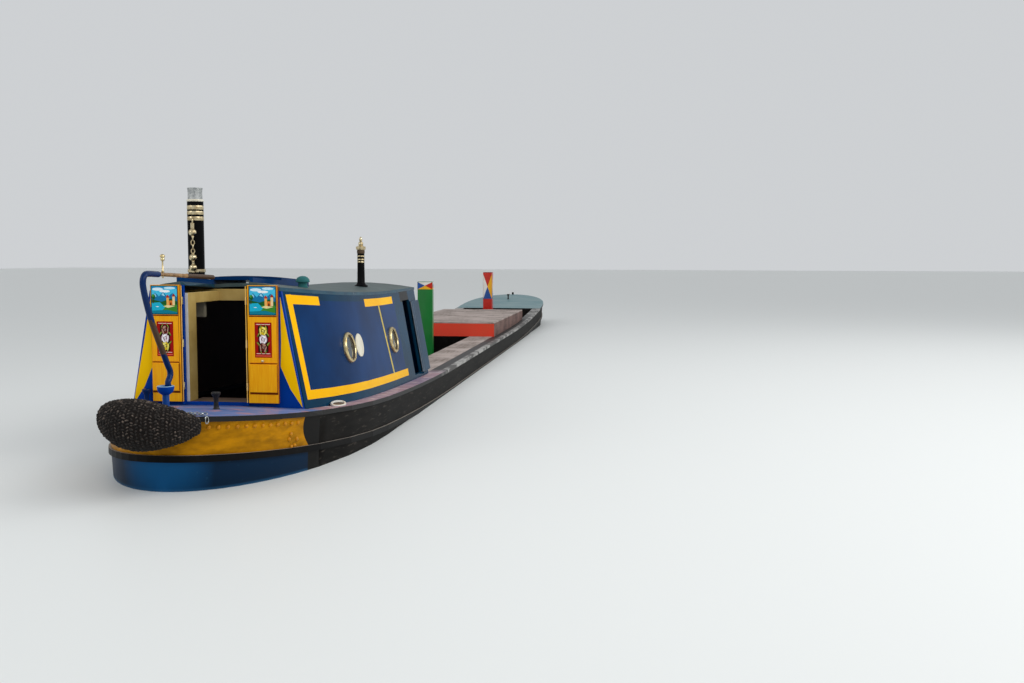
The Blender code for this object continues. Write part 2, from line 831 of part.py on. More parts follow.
def wall_frame(x, z, sign):
    """Axes on a cabin side's face at (x, z): X forward along it, Y up it and Z out of it."""
    aft = BULKHEAD_X + STATION * math.floor((x - BULKHEAD_X) / STATION)
    foot, head = wall_corners(aft, sign)
    fore_foot, fore_head = wall_corners(aft + STATION, sign)
    out = (head - foot).cross(fore_foot - foot).normalized() * sign
    up = (head - foot).normalized()
    along = up.cross(out).normalized()
    y = foot.y - (out.x * (x - foot.x) + out.z * (z - foot.z)) / out.y
    frame = Matrix((along, out.cross(along), out)).transposed().to_4x4()
    return Matrix.Translation((x, y, z)) @ frame


def make_cabin_side(word, sign):
    rings = []
    for x in stations(BULKHEAD_X + CABIN_WALL + 2 * GAP, CABIN_END - CABIN_WALL - 2 * GAP):
        foot, head = wall_corners(x, sign)
        inward = Vector((0.0, -sign * CABIN_WALL, 0.0))
        rings.append([foot, head, head + inward, foot + inward])
    side = loft("cabin_side_" + word, rings, "boat blue")
    for x, z in PORTHOLES:
        frame = wall_frame(BULKHEAD_X + x, WATER + z, sign)
        cut_rod(side, frame @ Vector((0, 0, -0.2)), frame @ Vector((0, 0, 0.2)), PORTHOLE_RADIUS)
        cut_rod(side, frame @ Vector((0, 0, -RIM_BED)), frame @ Vector((0, 0, 0.2)),
                (PORTHOLE_RIM + SEAT) / math.cos(math.pi / SEGMENTS))
    start = BULKHEAD_X + ENGINE_DOOR_START
    foot = engine_door_foot()
    cut_box(side, (start, min(0, sign * BEAM), foot),
            (start + ENGINE_DOOR_WIDTH, max(0, sign * BEAM), foot + ENGINE_DOOR_HEIGHT))
    add_hinge_bracket(side, engine_hinge(sign))
    return side


def make_porthole(number, x, z, word, sign):
    rim, hole = PORTHOLE_RIM, PORTHOLE_RADIUS
    profile = ((rim, 0.0), (rim - 0.004, RIM_THICK), (hole + 0.006, RIM_THICK),
               (hole, RIM_THICK / 3), (0.0, RIM_THICK / 3))
    frame = wall_frame(BULKHEAD_X + x, WATER + z, sign) @ Matrix.Translation((0, 0, GAP - RIM_BED))
    return turned(f"porthole_{word}_{number}", profile, frame, "brass")


def roof_row(x, drop):
    half = roof_half(x)
    return [(mix(-half, half, step), roof_edge(x) + camber(step) - drop)
            for step in spread(ROOF_ROWS)]


def make_roof():
    rings = []
    for x in fine_stations(BULKHEAD_X - ROOF_LAP_AFT, CABIN_END + ROOF_LAP):
        top = [(x, y, z) for y, z in roof_row(x, 0.0)]
        low = [(x, y, z) for y, z in reversed(roof_row(x, ROOF_THICK))]
        rings.append(top + low)
    roof = loft("cabin_roof", rings, "roof grey")
    cut_box(roof, (BULKHEAD_X - 1.0, -HATCH_HALF, SIDE_TOP),
            (BULKHEAD_X + HATCH_OPENING, HATCH_HALF, WATER + 3.0))
    return roof


def roof_outline(x, drop):
    """The right half of a wall's head, just under the roof, from the edge to the middle."""
    row = [(y, z - drop) for y, z in roof_row(x, ROOF_THICK) if y > 1e-6]
    return list(reversed(row)) + [(GAP, roof_edge(x) + ROOF_CAMBER - ROOF_THICK - drop)]


def make_aft_bulkhead():
    x = BULKHEAD_X + CABIN_WALL
    outline = [(cabin_base(BULKHEAD_X), sheer(BULKHEAD_X) + SEAT)]
    outline += roof_outline(x, SEAT)
    wall = cross_plate("aft_bulkhead", outline, BULKHEAD_X + GAP, CABIN_WALL, "boat blue")
    cut_box(wall, (BULKHEAD_X - 1.0, -DOORWAY_HALF, SILL),
            (BULKHEAD_X + 1.0, DOORWAY_HALF, WATER + 3.0))
    for sign in (-1, 1):
        add_hinge_bracket(wall, door_hinge(sign))
    return wall


def make_engine_bulkhead():
    x = CABIN_END - CABIN_WALL
    hull = PLATE_HALF - PLATE - 0.002
    strip = BEAM / 2 - GUNWALE_WIDTH - 0.002
    outline = [(hull, HULL_FLOOR), (hull, plate_top(x) - 0.002), (strip, plate_top(x) - 0.002),
               (strip, sheer(x) + SEAT), (cabin_base(x), sheer(x) + SEAT)]
    outline += roof_outline(x, SEAT)
    return cross_plate("engine_bulkhead", outline, x, CABIN_WALL, "boat blue")


# Doors, hung on upright or leaning axes

def door_hinge(sign):
    """X from the hinge along the open leaf, Y towards the wall, Z up the pin."""
    place = (BULKHEAD_X - DOOR_GAP - DOOR_THICK / 2, sign * DOORWAY_HALF, SILL + 0.003)
    axes = Matrix(((0, sign, 0), (1, 0, 0), (0, 0, 1))).transposed().to_4x4()
    return Matrix.Translation(place) @ axes


def engine_hinge(sign):
    x = BULKHEAD_X + ENGINE_DOOR_START + ENGINE_DOOR_WIDTH
    wall = wall_frame(x, engine_door_foot(), sign)
    along, up, out = (wall.to_3x3().col[i] for i in range(3))
    place = wall.translation + out * (DOOR_GAP + DOOR_THICK / 2)
    up = up if up.z > 0 else -up
    axes = Matrix((Vector((1, 0, 0)), -out, up)).transposed().to_4x4()
    return Matrix.Translation(place) @ axes


def engine_door_foot():
    return sheer(BULKHEAD_X + ENGINE_DOOR_START) + ENGINE_DOOR_SILL


def add_hinge_bracket(wall, hinge):
    """A small lug under the hinge's tube, reaching out of the wall."""
    bm = bmesh.new()
    add_box(bm, (-0.007, -0.007, -0.022), (0.007, DOOR_GAP + DOOR_THICK / 2 + 0.010, -GAP))
    bmesh.ops.transform(bm, matrix=hinge, verts=bm.verts)
    boolean(wall, piece("hinge lug", bm, "steel", CUTTERS), "UNION")


def make_leaf(name, hinge, width, height, colour):
    half, neck, tube = DOOR_THICK / 2, 0.005, HINGE_RADIUS
    outline = [(HINGE_CLEAR + width, half), (HINGE_CLEAR, half), (HINGE_CLEAR, neck)]
    for step in spread(8):
        angle = mix(math.radians(30), math.radians(330), step)
        outline.append((tube * math.cos(angle), tube * math.sin(angle)))
    outline += [(HINGE_CLEAR, -neck), (HINGE_CLEAR, -half), (HINGE_CLEAR + width, -half)]
    rings = [[hinge @ Vector((x, y, z)) for x, y in outline] for z in (0.0, height)]
    leaf = loft(name, rings, colour)
    set_origin(leaf, hinge.translation)
    return leaf


def make_door(word, sign):
    return make_leaf("door_" + word, door_hinge(sign), DOOR_WIDTH, DOOR_HEIGHT, "scumble")


def make_engine_door(word, sign):
    width = ENGINE_DOOR_WIDTH - 2 * HINGE_CLEAR
    return make_leaf("engine_door_" + word, engine_hinge(sign), width, ENGINE_DOOR_HEIGHT - 0.01,
                     "boat blue")


# Sliding hatch

def runner_top(x):
    first, last = BULKHEAD_X, BULKHEAD_X + RUNNER_LENGTH
    share = (x - first) / (last - first)
    return mix(roof_top(first, RUNNER_START), roof_top(last, RUNNER_START), share) + RUNNER_HEIGHT


def make_runner(word, sign):
    rings = []
    near, far = sign * RUNNER_START, sign * (RUNNER_START + RUNNER_WIDTH)
    for x in fine_stations(BULKHEAD_X, BULKHEAD_X + RUNNER_LENGTH):
        rings.append([(x, near, roof_top(x, near) + SEAT), (x, near, runner_top(x)),
                      (x, far, runner_top(x)), (x, far, roof_top(x, far) + SEAT)])
    return loft("hatch_runner_" + word, rings, "boat blue")


def make_hatch():
    half = RUNNER_START + RUNNER_WIDTH
    start = BULKHEAD_X + HATCH_OPENING
    rings = []
    for x in (start, start + HATCH_LENGTH):
        low = runner_top(x) + GAP
        high = [(x, mix(half, -half, step), low + HATCH_THICK
                 + HATCH_CROWN * (1 - (2 * step - 1) ** 2)) for step in spread(6)]
        rings.append([(x, -half, low), (x, half, low)] + high)
    return loft("hatch", rings, "boat blue")


# Roof fittings

def roof_frame(place, radius):
    """A place on the roof with its slope, as high as a round foot needs to clear it all round."""
    x, y = BULKHEAD_X + place[0], place[1]
    slope_x = (roof_top(x + radius, y) - roof_top(x - radius, y)) / (2 * radius)
    slope_y = (roof_top(x, y + radius) - roof_top(x, y - radius)) / (2 * radius)
    height = 0.0
    for reach in (radius * step for step in spread(4)):
        for angle in (TAU * step for step in spread(SEGMENTS)):
            dx, dy = reach * math.cos(angle), reach * math.sin(angle)
            height = max(height, roof_top(x + dx, y + dy) - slope_x * dx - slope_y * dy)
    return Matrix.Translation((x, y, height + GAP)), (slope_x, slope_y)


def make_chimney():
    r = CHIMNEY_RADIUS
    frame, slope = roof_frame(CHIMNEY_PLACE, r + 0.018)
    tall = WATER + CHIMNEY_TOP - frame.translation.z
    profile = [(r + 0.018, 0.0), (r + 0.018, 0.045), (r + 0.004, 0.055), (r, 0.075)]
    for band in (0.55, 0.67, 0.79):
        z = tall * band
        profile += [(r, z), (r + 0.007, z + 0.006), (r + 0.007, z + 0.022), (r, z + 0.028)]
    profile += [(r, tall - 0.01), (r + 0.004, tall - 0.005), (r + 0.004, tall),
                (r - 0.008, tall), (r - 0.008, tall - 0.12), (0.0, tall - 0.12)]
    return turned("chimney", profile, frame, "hull black", slope)


def make_exhaust_stack():
    r = STACK_RADIUS
    frame, slope = roof_frame(STACK_PLACE, r + 0.030)
    tall = WATER + STACK_TOP - frame.translation.z
    profile = [(r + 0.030, 0.0), (r + 0.030, 0.015), (r + 0.004, 0.025), (r, 0.035)]
    for band in (0.55, 0.70):
        z = tall * band
        profile += [(r, z), (r + 0.006, z + 0.005), (r + 0.006, z + 0.018), (r, z + 0.023)]
    profile += [(r, tall - 0.05), (r + 0.008, tall - 0.045), (r + 0.008, tall - 0.035),
                (r - 0.008, tall - 0.03), (0.016, tall - 0.018), (0.0, tall)]
    return turned("exhaust_stack", profile, frame, "hull black", slope)


def make_vent():
    r, h = VENT_RADIUS, VENT_HEIGHT
    frame, slope = roof_frame(VENT_PLACE, r * 0.72)
    profile = [(r * 0.72, 0.0), (r * 0.66, h * 0.35), (r, h * 0.42), (r * 0.98, h * 0.58),
               (r * 0.75, h * 0.85), (r * 0.35, h * 0.98), (0.0, h)]
    return turned("mushroom_vent", profile, frame, "vent teal", slope)


# Steering

def smooth_route(route, steps=4):
    """Points on a smooth curve through the route's own points."""
    points = [Vector(p) for p in route]
    line = []
    for i in range(len(points) - 1):
        before = points[max(0, i - 1)]
        a, b = points[i], points[i + 1]
        after = points[min(len(points) - 1, i + 2)]
        for step in range(steps):
            t = step / steps
            line.append(0.5 * (2 * a + (b - before) * t + (2 * before - 5 * a + 4 * b - after) * t * t
                               + (3 * a - before - 3 * b + after) * t ** 3))
    return line + [points[-1]]


def tube(name, route, radius, colour):
    curve = bpy.data.curves.new(name, "CURVE")
    curve.dimensions = "3D"
    curve.bevel_depth = radius
    curve.bevel_resolution = 3
    curve.use_fill_caps = True
    line = curve.splines.new("POLY")
    line.points.add(len(route) - 1)
    for point, place in zip(line.points, route):
        point.co = (*place, 1.0)
    curve.materials.append(paint(colour))
    item = bpy.data.objects.new(name, curve)
    BOAT.objects.link(item)
    return item


def steering_route(rows):
    x = BULKHEAD_X + RUDDER_X
    return [(x + forward, 0.0, WATER + height) for forward, height in rows]


def make_rudder():
    x = BULKHEAD_X + RUDDER_X
    foot = SKEG_HEIGHT + GAP
    top = WATER + RAMS_HEAD_TOP - RAMS_HEAD_HEIGHT
    stock = rod("rudder", (x, 0, foot), (x, 0, top - GAP), STOCK_RADIUS, "hull black")
    bm = bmesh.new()
    add_box(bm, (x - BLADE_AFT, -BLADE_THICK / 2, SKEG_HEIGHT + 0.015),
            (x + BLADE_FORE, BLADE_THICK / 2, UXTER - 0.02))
    boolean(stock, piece("blade", bm, "hull black", CUTTERS), "UNION")
    return stock


def make_rams_head():
    r, h = RAMS_HEAD_RADIUS, RAMS_HEAD_HEIGHT
    foot = WATER + RAMS_HEAD_TOP - h
    frame = Matrix.Translation((BULKHEAD_X + RUDDER_X, 0, foot))
    profile = [(STOCK_RADIUS * 1.1, 0.0), (r * 0.85, h * 0.25), (r, h * 0.5), (r, h * 0.8),
               (r * 0.9, h - GAP), (0.0, h - GAP)]
    return turned("rams_head", profile, frame, "boat blue")


def make_swan_neck():
    seat = Vector((NECK_FOOT, RAMS_HEAD_TOP + GAP))
    route = [seat] + smooth_route([Vector(p) for p in NECK_ROUTE], 3)
    return tube("swan_neck", steering_route(route), NECK_RADIUS, "boat blue")


def make_tiller_bar():
    return tube("tiller_bar", steering_route(BAR_ROUTE), BAR_RADIUS, "brass")


# Drive

def make_propeller():
    x = BULKHEAD_X + PROP_X
    hub = rod("propeller", (x - 0.07, 0, SHAFT_HEIGHT), (x + 0.07, 0, SHAFT_HEIGHT), 0.045, "bronze")
    shaft_end = BULKHEAD_X + SWIM_END - 0.005
    shaft = rod("shaft", (x - 0.05, 0, SHAFT_HEIGHT), (shaft_end, 0, SHAFT_HEIGHT),
                SHAFT_RADIUS, "steel", CUTTERS)
    boolean(hub, shaft, "UNION")
    sections = (
        # share of the radius, chord, pitch angle, thickness
        (0.10, 0.090, 58, 0.020),
        (0.40, 0.170, 42, 0.014),
        (0.75, 0.210, 28, 0.010),
        (0.96, 0.120, 22, 0.007),
    )
    for number in range(PROP_BLADES):
        turn = Matrix.Rotation(TAU * number / PROP_BLADES, 4, "X")
        rings = []
        for share, chord, pitch, thick in sections:
            ring = []
            for along, across in ((-0.5, 0), (0, 0.5), (0.5, 0), (0, -0.5)):
                a, t = chord * along, thick * across
                c, s = math.cos(math.radians(pitch)), math.sin(math.radians(pitch))
                ring.append(turn @ Vector((a * c + t * s, a * s - t * c, PROP_RADIUS * share)))
            rings.append([(x + p.x, p.y, SHAFT_HEIGHT + p.z) for p in ring])
        boolean(hub, loft("blade", rings, "bronze", CUTTERS), "UNION")
    return hub


def make_engine():
    x = ENGINE_BED_X + 0.10
    return box("engine", (x, -0.28, HULL_FLOOR), (x + ENGINE_LENGTH, 0.28, 1.00), "engine green")


def make_cabin_step():
    x = BULKHEAD_X + CABIN_WALL + 0.003
    return box("cabin_step", (x, -0.25, UXTER + PLATE + GAP), (x + 0.26, 0.25, SILL - 0.003),
               "plank")


# Deck gear

def make_dolly(name, x, y, top, colour="hull black"):
    """A stud whose foot lies on the deck, whose top is given as a height at x and y."""
    r, h = DOLLY_RADIUS, DOLLY_HEIGHT
    profile = [(r * 1.6, 0.0), (r * 1.6, h * 0.05), (r * 1.1, h * 0.12), (r * 1.1, h * 0.5),
               (r * 1.5, h * 0.8), (r * 2.0, h * 0.87), (r * 2.0, h * 0.97), (r * 1.6, h), (0.0, h)]
    step = 0.05
    slope = ((top(x + step, y) - top(x - step, y)) / (2 * step),
             (top(x, y + step) - top(x, y - step)) / (2 * step))
    frame = Matrix.Translation((x, y, top(x, y) + SEAT))
    return turned(name, profile, frame, colour, slope)


def make_stern_fender():
    line = stern_curve(BEAM / 2, STERN_X, BULKHEAD_X, 60)
    side = [(x, y) for x, y in line if y < FENDER_HALF]
    plan = side + [(x, -y) for x, y in reversed(side[:-1])]
    rings = []
    count = len(plan)
    for i, (x, y) in enumerate(plan):
        before, after = plan[max(0, i - 1)], plan[min(count - 1, i + 1)]
        along = Vector((after[0] - before[0], after[1] - before[1], 0)).normalized()
        out = Vector((-abs(along.y), math.copysign(abs(along.x), y) if abs(y) > 1e-4 else 0.0, 0))
        place = 1 - 2 * i / (count - 1)
        radius = mix(FENDER_RADIUS, FENDER_TIP, abs(place) ** FENDER_TAPER)
        height = WATER + FENDER_HEIGHT + FENDER_TILT * place
        middle = Vector((x, y, height)) + out * (radius + SEAT)
        rings.append([middle + out * (radius * math.cos(a)) + Vector((0, 0, radius * math.sin(a)))
                      for a in [TAU * k / 16 for k in range(16)]])
    return loft("stern_fender", rings, "rope")


def make_bow_fender():
    r = BOW_FENDER_RADIUS
    x = nose(BOW_LEVELS[4][1]) + STEM_DEPTH + r + SEAT
    profile = [(r * 0.55, -r * 1.35), (r * 0.9, -r * 0.8), (r, 0.0), (r * 0.9, r * 0.8),
               (r * 0.55, r * 1.35), (0.0, r * 1.45)]
    frame = Matrix.Translation((x, 0, sheer(LENGTH_HALF) - BOW_FENDER_DROP))
    return turned("bow_fender", profile, frame, "rope")


def make_pieces():
    make_bottom()
    both_sides(make_side_plates)
    both_sides(make_bow_plates)
    both_sides(make_swim_plates)
    both_sides(make_quarter_plates)
    make_counter()
    make_counter_deck()
    make_uxter_plate()
    make_skeg()
    make_stem()
    both_sides(make_guard)
    both_sides(make_gunwale)
    make_foredeck()
    make_fore_bulkhead()
    make_hold_floor()
    both_sides(make_side_deck)
    make_raised_coaming()
    make_raised_deck()
    make_post("plank_stand", STAND, "green paint")
    make_post("box_mast", MAST, "red oxide")
    both_sides(make_cabin_side)
    for number, (x, z) in enumerate(PORTHOLES, 1):
        both_sides(lambda word, sign: make_porthole(number, x, z, word, sign))
    make_roof()
    make_aft_bulkhead()
    make_engine_bulkhead()
    both_sides(make_door)
    both_sides(make_engine_door)
    both_sides(make_runner)
    make_hatch()
    make_chimney()
    make_exhaust_stack()
    make_vent()
    make_rudder()
    make_rams_head()
    make_swan_neck()
    make_tiller_bar()
    make_propeller()
    make_engine()
    make_cabin_step()
    for name, x, y in DOLLIES:
        make_dolly(name, BULKHEAD_X + x, y, deck_top)
    stud_x = LENGTH_HALF - BOW_STUD_BACK
    make_dolly("bow_stud", stud_x, 0.0, lambda x, y: sheer(x))
    make_stern_fender()
    make_bow_fender()


make_pieces()
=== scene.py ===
"""Looks of the working motor narrowboat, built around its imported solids.

Lengths are metres. X runs forward to the bow, Y to port and Z up, from the underside of the hull.
"""

import math
import random

import bmesh
import bpy
from mathutils import Matrix, Vector
from mathutils.bvhtree import BVHTree


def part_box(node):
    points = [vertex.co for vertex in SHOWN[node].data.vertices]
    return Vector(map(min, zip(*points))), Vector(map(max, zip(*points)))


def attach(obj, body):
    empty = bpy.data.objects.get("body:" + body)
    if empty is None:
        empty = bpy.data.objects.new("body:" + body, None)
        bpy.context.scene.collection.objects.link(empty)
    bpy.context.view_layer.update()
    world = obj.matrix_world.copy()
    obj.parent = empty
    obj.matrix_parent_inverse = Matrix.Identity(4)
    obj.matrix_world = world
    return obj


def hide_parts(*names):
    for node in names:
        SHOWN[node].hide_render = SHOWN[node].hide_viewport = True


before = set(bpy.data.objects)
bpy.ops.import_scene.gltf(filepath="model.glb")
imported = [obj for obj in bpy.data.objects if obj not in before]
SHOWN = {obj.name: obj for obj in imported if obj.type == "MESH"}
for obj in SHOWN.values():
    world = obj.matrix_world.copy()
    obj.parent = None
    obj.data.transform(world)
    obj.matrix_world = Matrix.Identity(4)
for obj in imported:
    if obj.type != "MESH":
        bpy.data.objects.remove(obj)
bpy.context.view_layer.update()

# The view. The boat floats off the canal bank and is seen from behind its starboard quarter, a little
# above the cabin's roof, through a 35 mm lens. The pale floor lies at the water's level and is left
# open inside the hull, and the light is a bright sky with three wide soft panels.

FLOOR = 0.95
YAW, PITCH, ROLL = 0.121, 0.083, 0.003
EYE = Vector((-17.288, -3.386, 2.648))

lens = bpy.data.cameras.new("camera")
lens.lens = 35.0
lens.sensor_width = 36.0
lens.clip_end = 400.0
camera = bpy.data.objects.new("camera", lens)
bpy.context.scene.collection.objects.link(camera)
ahead = Vector((math.cos(YAW) * math.cos(PITCH), math.sin(YAW) * math.cos(PITCH), -math.sin(PITCH)))
aside = Vector((math.sin(YAW), -math.cos(YAW), 0.0))
axes = Matrix((aside, aside.cross(ahead), -ahead)).transposed().to_4x4()
camera.matrix_world = Matrix.Translation(EYE) @ axes @ Matrix.Rotation(ROLL, 4, "Z")
bpy.context.scene.camera = camera
# The paints are saturated, and the Standard view keeps their colours as they are given
bpy.context.scene.view_settings.view_transform = "Standard"


def linear(code):
    """An sRGB hex colour as linear red, green, blue and alpha."""
    shares = [int(code[i:i + 2], 16) / 255 for i in (1, 3, 5)]
    return (*(s / 12.92 if s <= 0.04045 else ((s + 0.055) / 1.055) ** 2.4 for s in shares), 1.0)


def add(finish, kind, settings=None, wires=None):
    """Add a node to a finish, with its settings and its inputs' values or links."""
    node = finish.node_tree.nodes.new("ShaderNode" + kind)
    for name, value in (settings or {}).items():
        setattr(node, name, value)
    for socket, value in (wires or {}).items():
        if isinstance(value, bpy.types.NodeSocket):
            finish.node_tree.links.new(value, node.inputs[socket])
        else:
            node.inputs[socket].default_value = value
    return node


def start_finish(name, roughness, metallic=0.0, coat=0.0):
    finish = bpy.data.materials.new(name)
    finish.use_nodes = True
    shader = finish.node_tree.nodes["Principled BSDF"]
    shader.inputs["Roughness"].default_value = roughness
    shader.inputs["Metallic"].default_value = metallic
    shader.inputs["Coat Weight"].default_value = coat
    shader.inputs["Coat Roughness"].default_value = 0.08
    return finish, shader


# The stern is drawn in, in plan, from its start over its run
STERN_START, STERN_RUN, STERN_POWER = -7.92, 2.75, 2.25
HALF_BEAM = 1.065


def stern_half(half, run, x):
    """Half the width of a line that is drawn in towards the counter's end over a run."""
    share = max(0.0, (STERN_START - x) / run)
    return half * math.sqrt(max(0.0, 1 - share ** STERN_POWER))


def hull_half(x):
    """Half the hull's width at the floor, to the middle of its plating."""
    return stern_half(1.045, 2.604, x) - 0.006


floor_mesh = bmesh.new()
places = [-9.53 + 0.1 * i for i in range(18)] + [0.0, 5.3, 7.4]
side = [(x, hull_half(x)) for x in places] + [(7.676, 0.98)]
rings = [[(-90, 90), (140, 90), (140, -90), (-90, -90)], side + [(x, -y) for x, y in reversed(side)]]
edges = []
for ring in rings:
    corners = [floor_mesh.verts.new((x, y, FLOOR)) for x, y in ring]
    edges += [floor_mesh.edges.new((corners[i - 1], corners[i])) for i in range(len(corners))]
bmesh.ops.triangle_fill(floor_mesh, use_beauty=True, use_dissolve=False, edges=edges)
floor_sheet = bpy.data.meshes.new("floor")
floor_mesh.to_mesh(floor_sheet)
floor_mesh.free()
floor_finish, shader = start_finish("pale studio floor", 0.55)
shader.inputs["Base Color"].default_value = linear("#e4e6e4")
floor_sheet.materials.append(floor_finish)
floor = bpy.data.objects.new("floor", floor_sheet)
bpy.context.scene.collection.objects.link(floor)

sky = bpy.data.worlds.new("studio")
bpy.context.scene.world = sky
sky.use_nodes = True
sky.node_tree.nodes["Background"].inputs["Color"].default_value = linear("#eef1f4")
sky.node_tree.nodes["Background"].inputs["Strength"].default_value = 0.72
PANELS = (
    # place, aim, width, height, power
    ((-14.0, -9.0, 9.0), (-8.0, 0.0, 1.5), 9.0, 6.0, 420.0),
    ((-4.0, -12.0, 10.0), (0.0, 0.0, 1.0), 16.0, 6.0, 700.0),
    ((-16.0, 8.0, 8.0), (-9.0, 0.0, 1.5), 6.0, 6.0, 200.0),
)
for number, (place, aim, width, height, power) in enumerate(PANELS):
    lamp = bpy.data.lights.new(f"panel_{number}", "AREA")
    lamp.shape = "RECTANGLE"
    lamp.size, lamp.size_y, lamp.energy = width, height, power
    panel = bpy.data.objects.new(f"panel_{number}", lamp)
    panel.location = place
    panel.rotation_euler = (Vector(aim) - Vector(place)).to_track_quat("-Z", "Y").to_euler()
    bpy.context.scene.collection.objects.link(panel)

# The hull's plating: riveted and welded mild steel, brushed with bitumen blacking. It dries to a
# brown black and is rubbed grey by locks and banks. The guards' upper faces are painted pale grey,
# partly for silt and partly as a painted highlight where the light falls on their tops.


def paint_parts(name, base, shade, worn, size, wear, roughness, stretch=(1, 1, 1), coat=0.0, bump=0.2):
    """Brushed paint: two tones of it in patches, and rubbed spots of what is under it.

    size is that of the patches in metres, wear is the rubbed share from 0 to 1. It gives the finish, its
    shader and the colour that its nodes end in, for a paint that gets more of them."""
    finish, shader = start_finish(name, roughness, coat=coat)
    shader.inputs["Specular IOR Level"].default_value = 0.25
    place = add(finish, "TexCoord").outputs["Object"]
    drawn = add(finish, "Mapping", {}, {"Vector": place, "Scale": stretch}).outputs[0]
    patch = add(finish, "TexNoise", {}, {"Vector": drawn, "Scale": 1 / size, "Detail": 6.0})
    tone = add(finish, "MapRange", {}, {"Value": patch.outputs[0], "From Min": 0.35, "From Max": 0.65})
    paint = add(finish, "Mix", {"data_type": "RGBA"},
                {0: tone.outputs[0], 6: linear(base), 7: linear(shade)}).outputs[2]
    rub = add(finish, "TexNoise", {}, {"Vector": drawn, "Scale": 4 / size, "Detail": 8.0,
                                       "Roughness": 0.65})
    bare = add(finish, "MapRange", {}, {"Value": rub.outputs[0], "From Min": 0.80 - 0.45 * wear,
                                        "From Max": 0.86 - 0.40 * wear})
    colour = add(finish, "Mix", {"data_type": "RGBA"},
                 {0: bare.outputs[0], 6: paint, 7: linear(worn)}).outputs[2]
    # Brush marks, drawn about 11 mm apart, coarser than real ones, so that they show
    brush = add(finish, "TexNoise", {}, {"Vector": drawn, "Scale": 90.0, "Detail": 3.0})
    relief = add(finish, "Bump", {}, {"Strength": bump, "Distance": 0.003, "Height": brush.outputs[0]})
    finish.node_tree.links.new(colour, shader.inputs["Base Color"])
    finish.node_tree.links.new(relief.outputs[0], shader.inputs["Normal"])
    return finish, shader, colour


def worn_paint(*looks, **more):
    """The finish alone of a brushed paint."""
    return paint_parts(*looks, **more)[0]


def dress(finish, *names):
    for name in names:
        SHOWN[name].data.materials.clear()
        SHOWN[name].data.materials.append(finish)


def pair(*names):
    return [f"{name}_{word}" for name in names for word in ("port", "starboard")]


blacking, shader = paint_parts("bitumen blacking", "#100f0e", "#1d1b19", "#3e3934", 0.20, 0.50, 0.6,
                               stretch=(0.30, 1, 2.2))[:2]
shader.inputs["Specular IOR Level"].default_value = 0.06
dress(blacking, "bottom_plate", "skeg", "stem_post", "fore_bulkhead")
lining = worn_paint("grey hull primer", "#4d4f50", "#5d5c58", "#7a6a5a", 0.25, 0.25, 0.6)
dress(lining, "uxter_plate")
guard_steel, shader, colour = paint_parts("rubbed guard", "#0b0b0c", "#151414", "#5a524a", 0.20, 0.20, 0.45,
                                          stretch=(0.2, 1, 1))
# Silt and painted highlight: the guards' upward faces are mixed towards pale grey
facing = add(guard_steel, "SeparateXYZ", {}, {0: add(guard_steel, "NewGeometry").outputs["Normal"]})
upward_silt_and_highlight = add(guard_steel, "MapRange", {}, {"Value": facing.outputs["Z"], "From Min": 0.6, "From Max": 0.9})
silt_and_highlight = add(guard_steel, "Mix", {"data_type": "RGBA"},
             {0: upward_silt_and_highlight.outputs[0], 6: colour, 7: linear("#8b837a")})
shader.inputs["Specular IOR Level"].default_value = 0.06
guard_steel.node_tree.links.new(silt_and_highlight.outputs[2], shader.inputs["Base Color"])

# The counter: the rounded steel stern under the deck, in three colours. Above the guard it is signal
# yellow, which ends in a curve on the black, and below it a mid blue that ends near the same place.
# The yellow is painted a darker ochre, partly as painted shade on the counter, and the blue is painted
# darker from the stern's end forward round the quarters, as painted shade.

AFT = -9.52
GUARD_HEIGHT, GUARD_SLOPE = 1.119, -0.0794
ARC_X, ARC_HEIGHT, ARC_BEND = -9.730, 1.32, 2.8
BLUE_END = -9.66

# The yellow's tones are darkened, partly as painted shade on the counter
counter_finish, shader, colour = paint_parts("counter yellow", "#bd8000", "#8f6000", "#5f4410", 0.16, 0.30,
                                             0.42, stretch=(1, 1, 2.5))
shader.inputs["Specular IOR Level"].default_value = 0.08
place = add(counter_finish, "SeparateXYZ", {}, {0: add(counter_finish, "TexCoord").outputs["Object"]})
ahead_of = add(counter_finish, "Math", {"operation": "ADD"}, {0: place.outputs["X"], 1: -AFT})
guard_line = add(counter_finish, "Math", {"operation": "MULTIPLY_ADD"},
                 {0: ahead_of.outputs[0], 1: GUARD_SLOPE, 2: GUARD_HEIGHT})
over = add(counter_finish, "Math", {"operation": "GREATER_THAN"},
           {0: place.outputs["Z"], 1: guard_line.outputs[0]})
rise = add(counter_finish, "Math", {"operation": "SUBTRACT"}, {0: place.outputs["Z"], 1: ARC_HEIGHT})
bow_out = add(counter_finish, "Math", {"operation": "MULTIPLY"}, {0: rise.outputs[0], 1: rise.outputs[0]})
edge = add(counter_finish, "Math", {"operation": "MULTIPLY_ADD"},
           {0: bow_out.outputs[0], 1: ARC_BEND, 2: ARC_X})
aft_of = add(counter_finish, "Math", {"operation": "LESS_THAN"},
             {0: place.outputs["X"], 1: edge.outputs[0]})
black = linear("#141312")
upper = add(counter_finish, "Mix", {"data_type": "RGBA"},
            {0: aft_of.outputs[0], 6: black, 7: colour}).outputs[2]
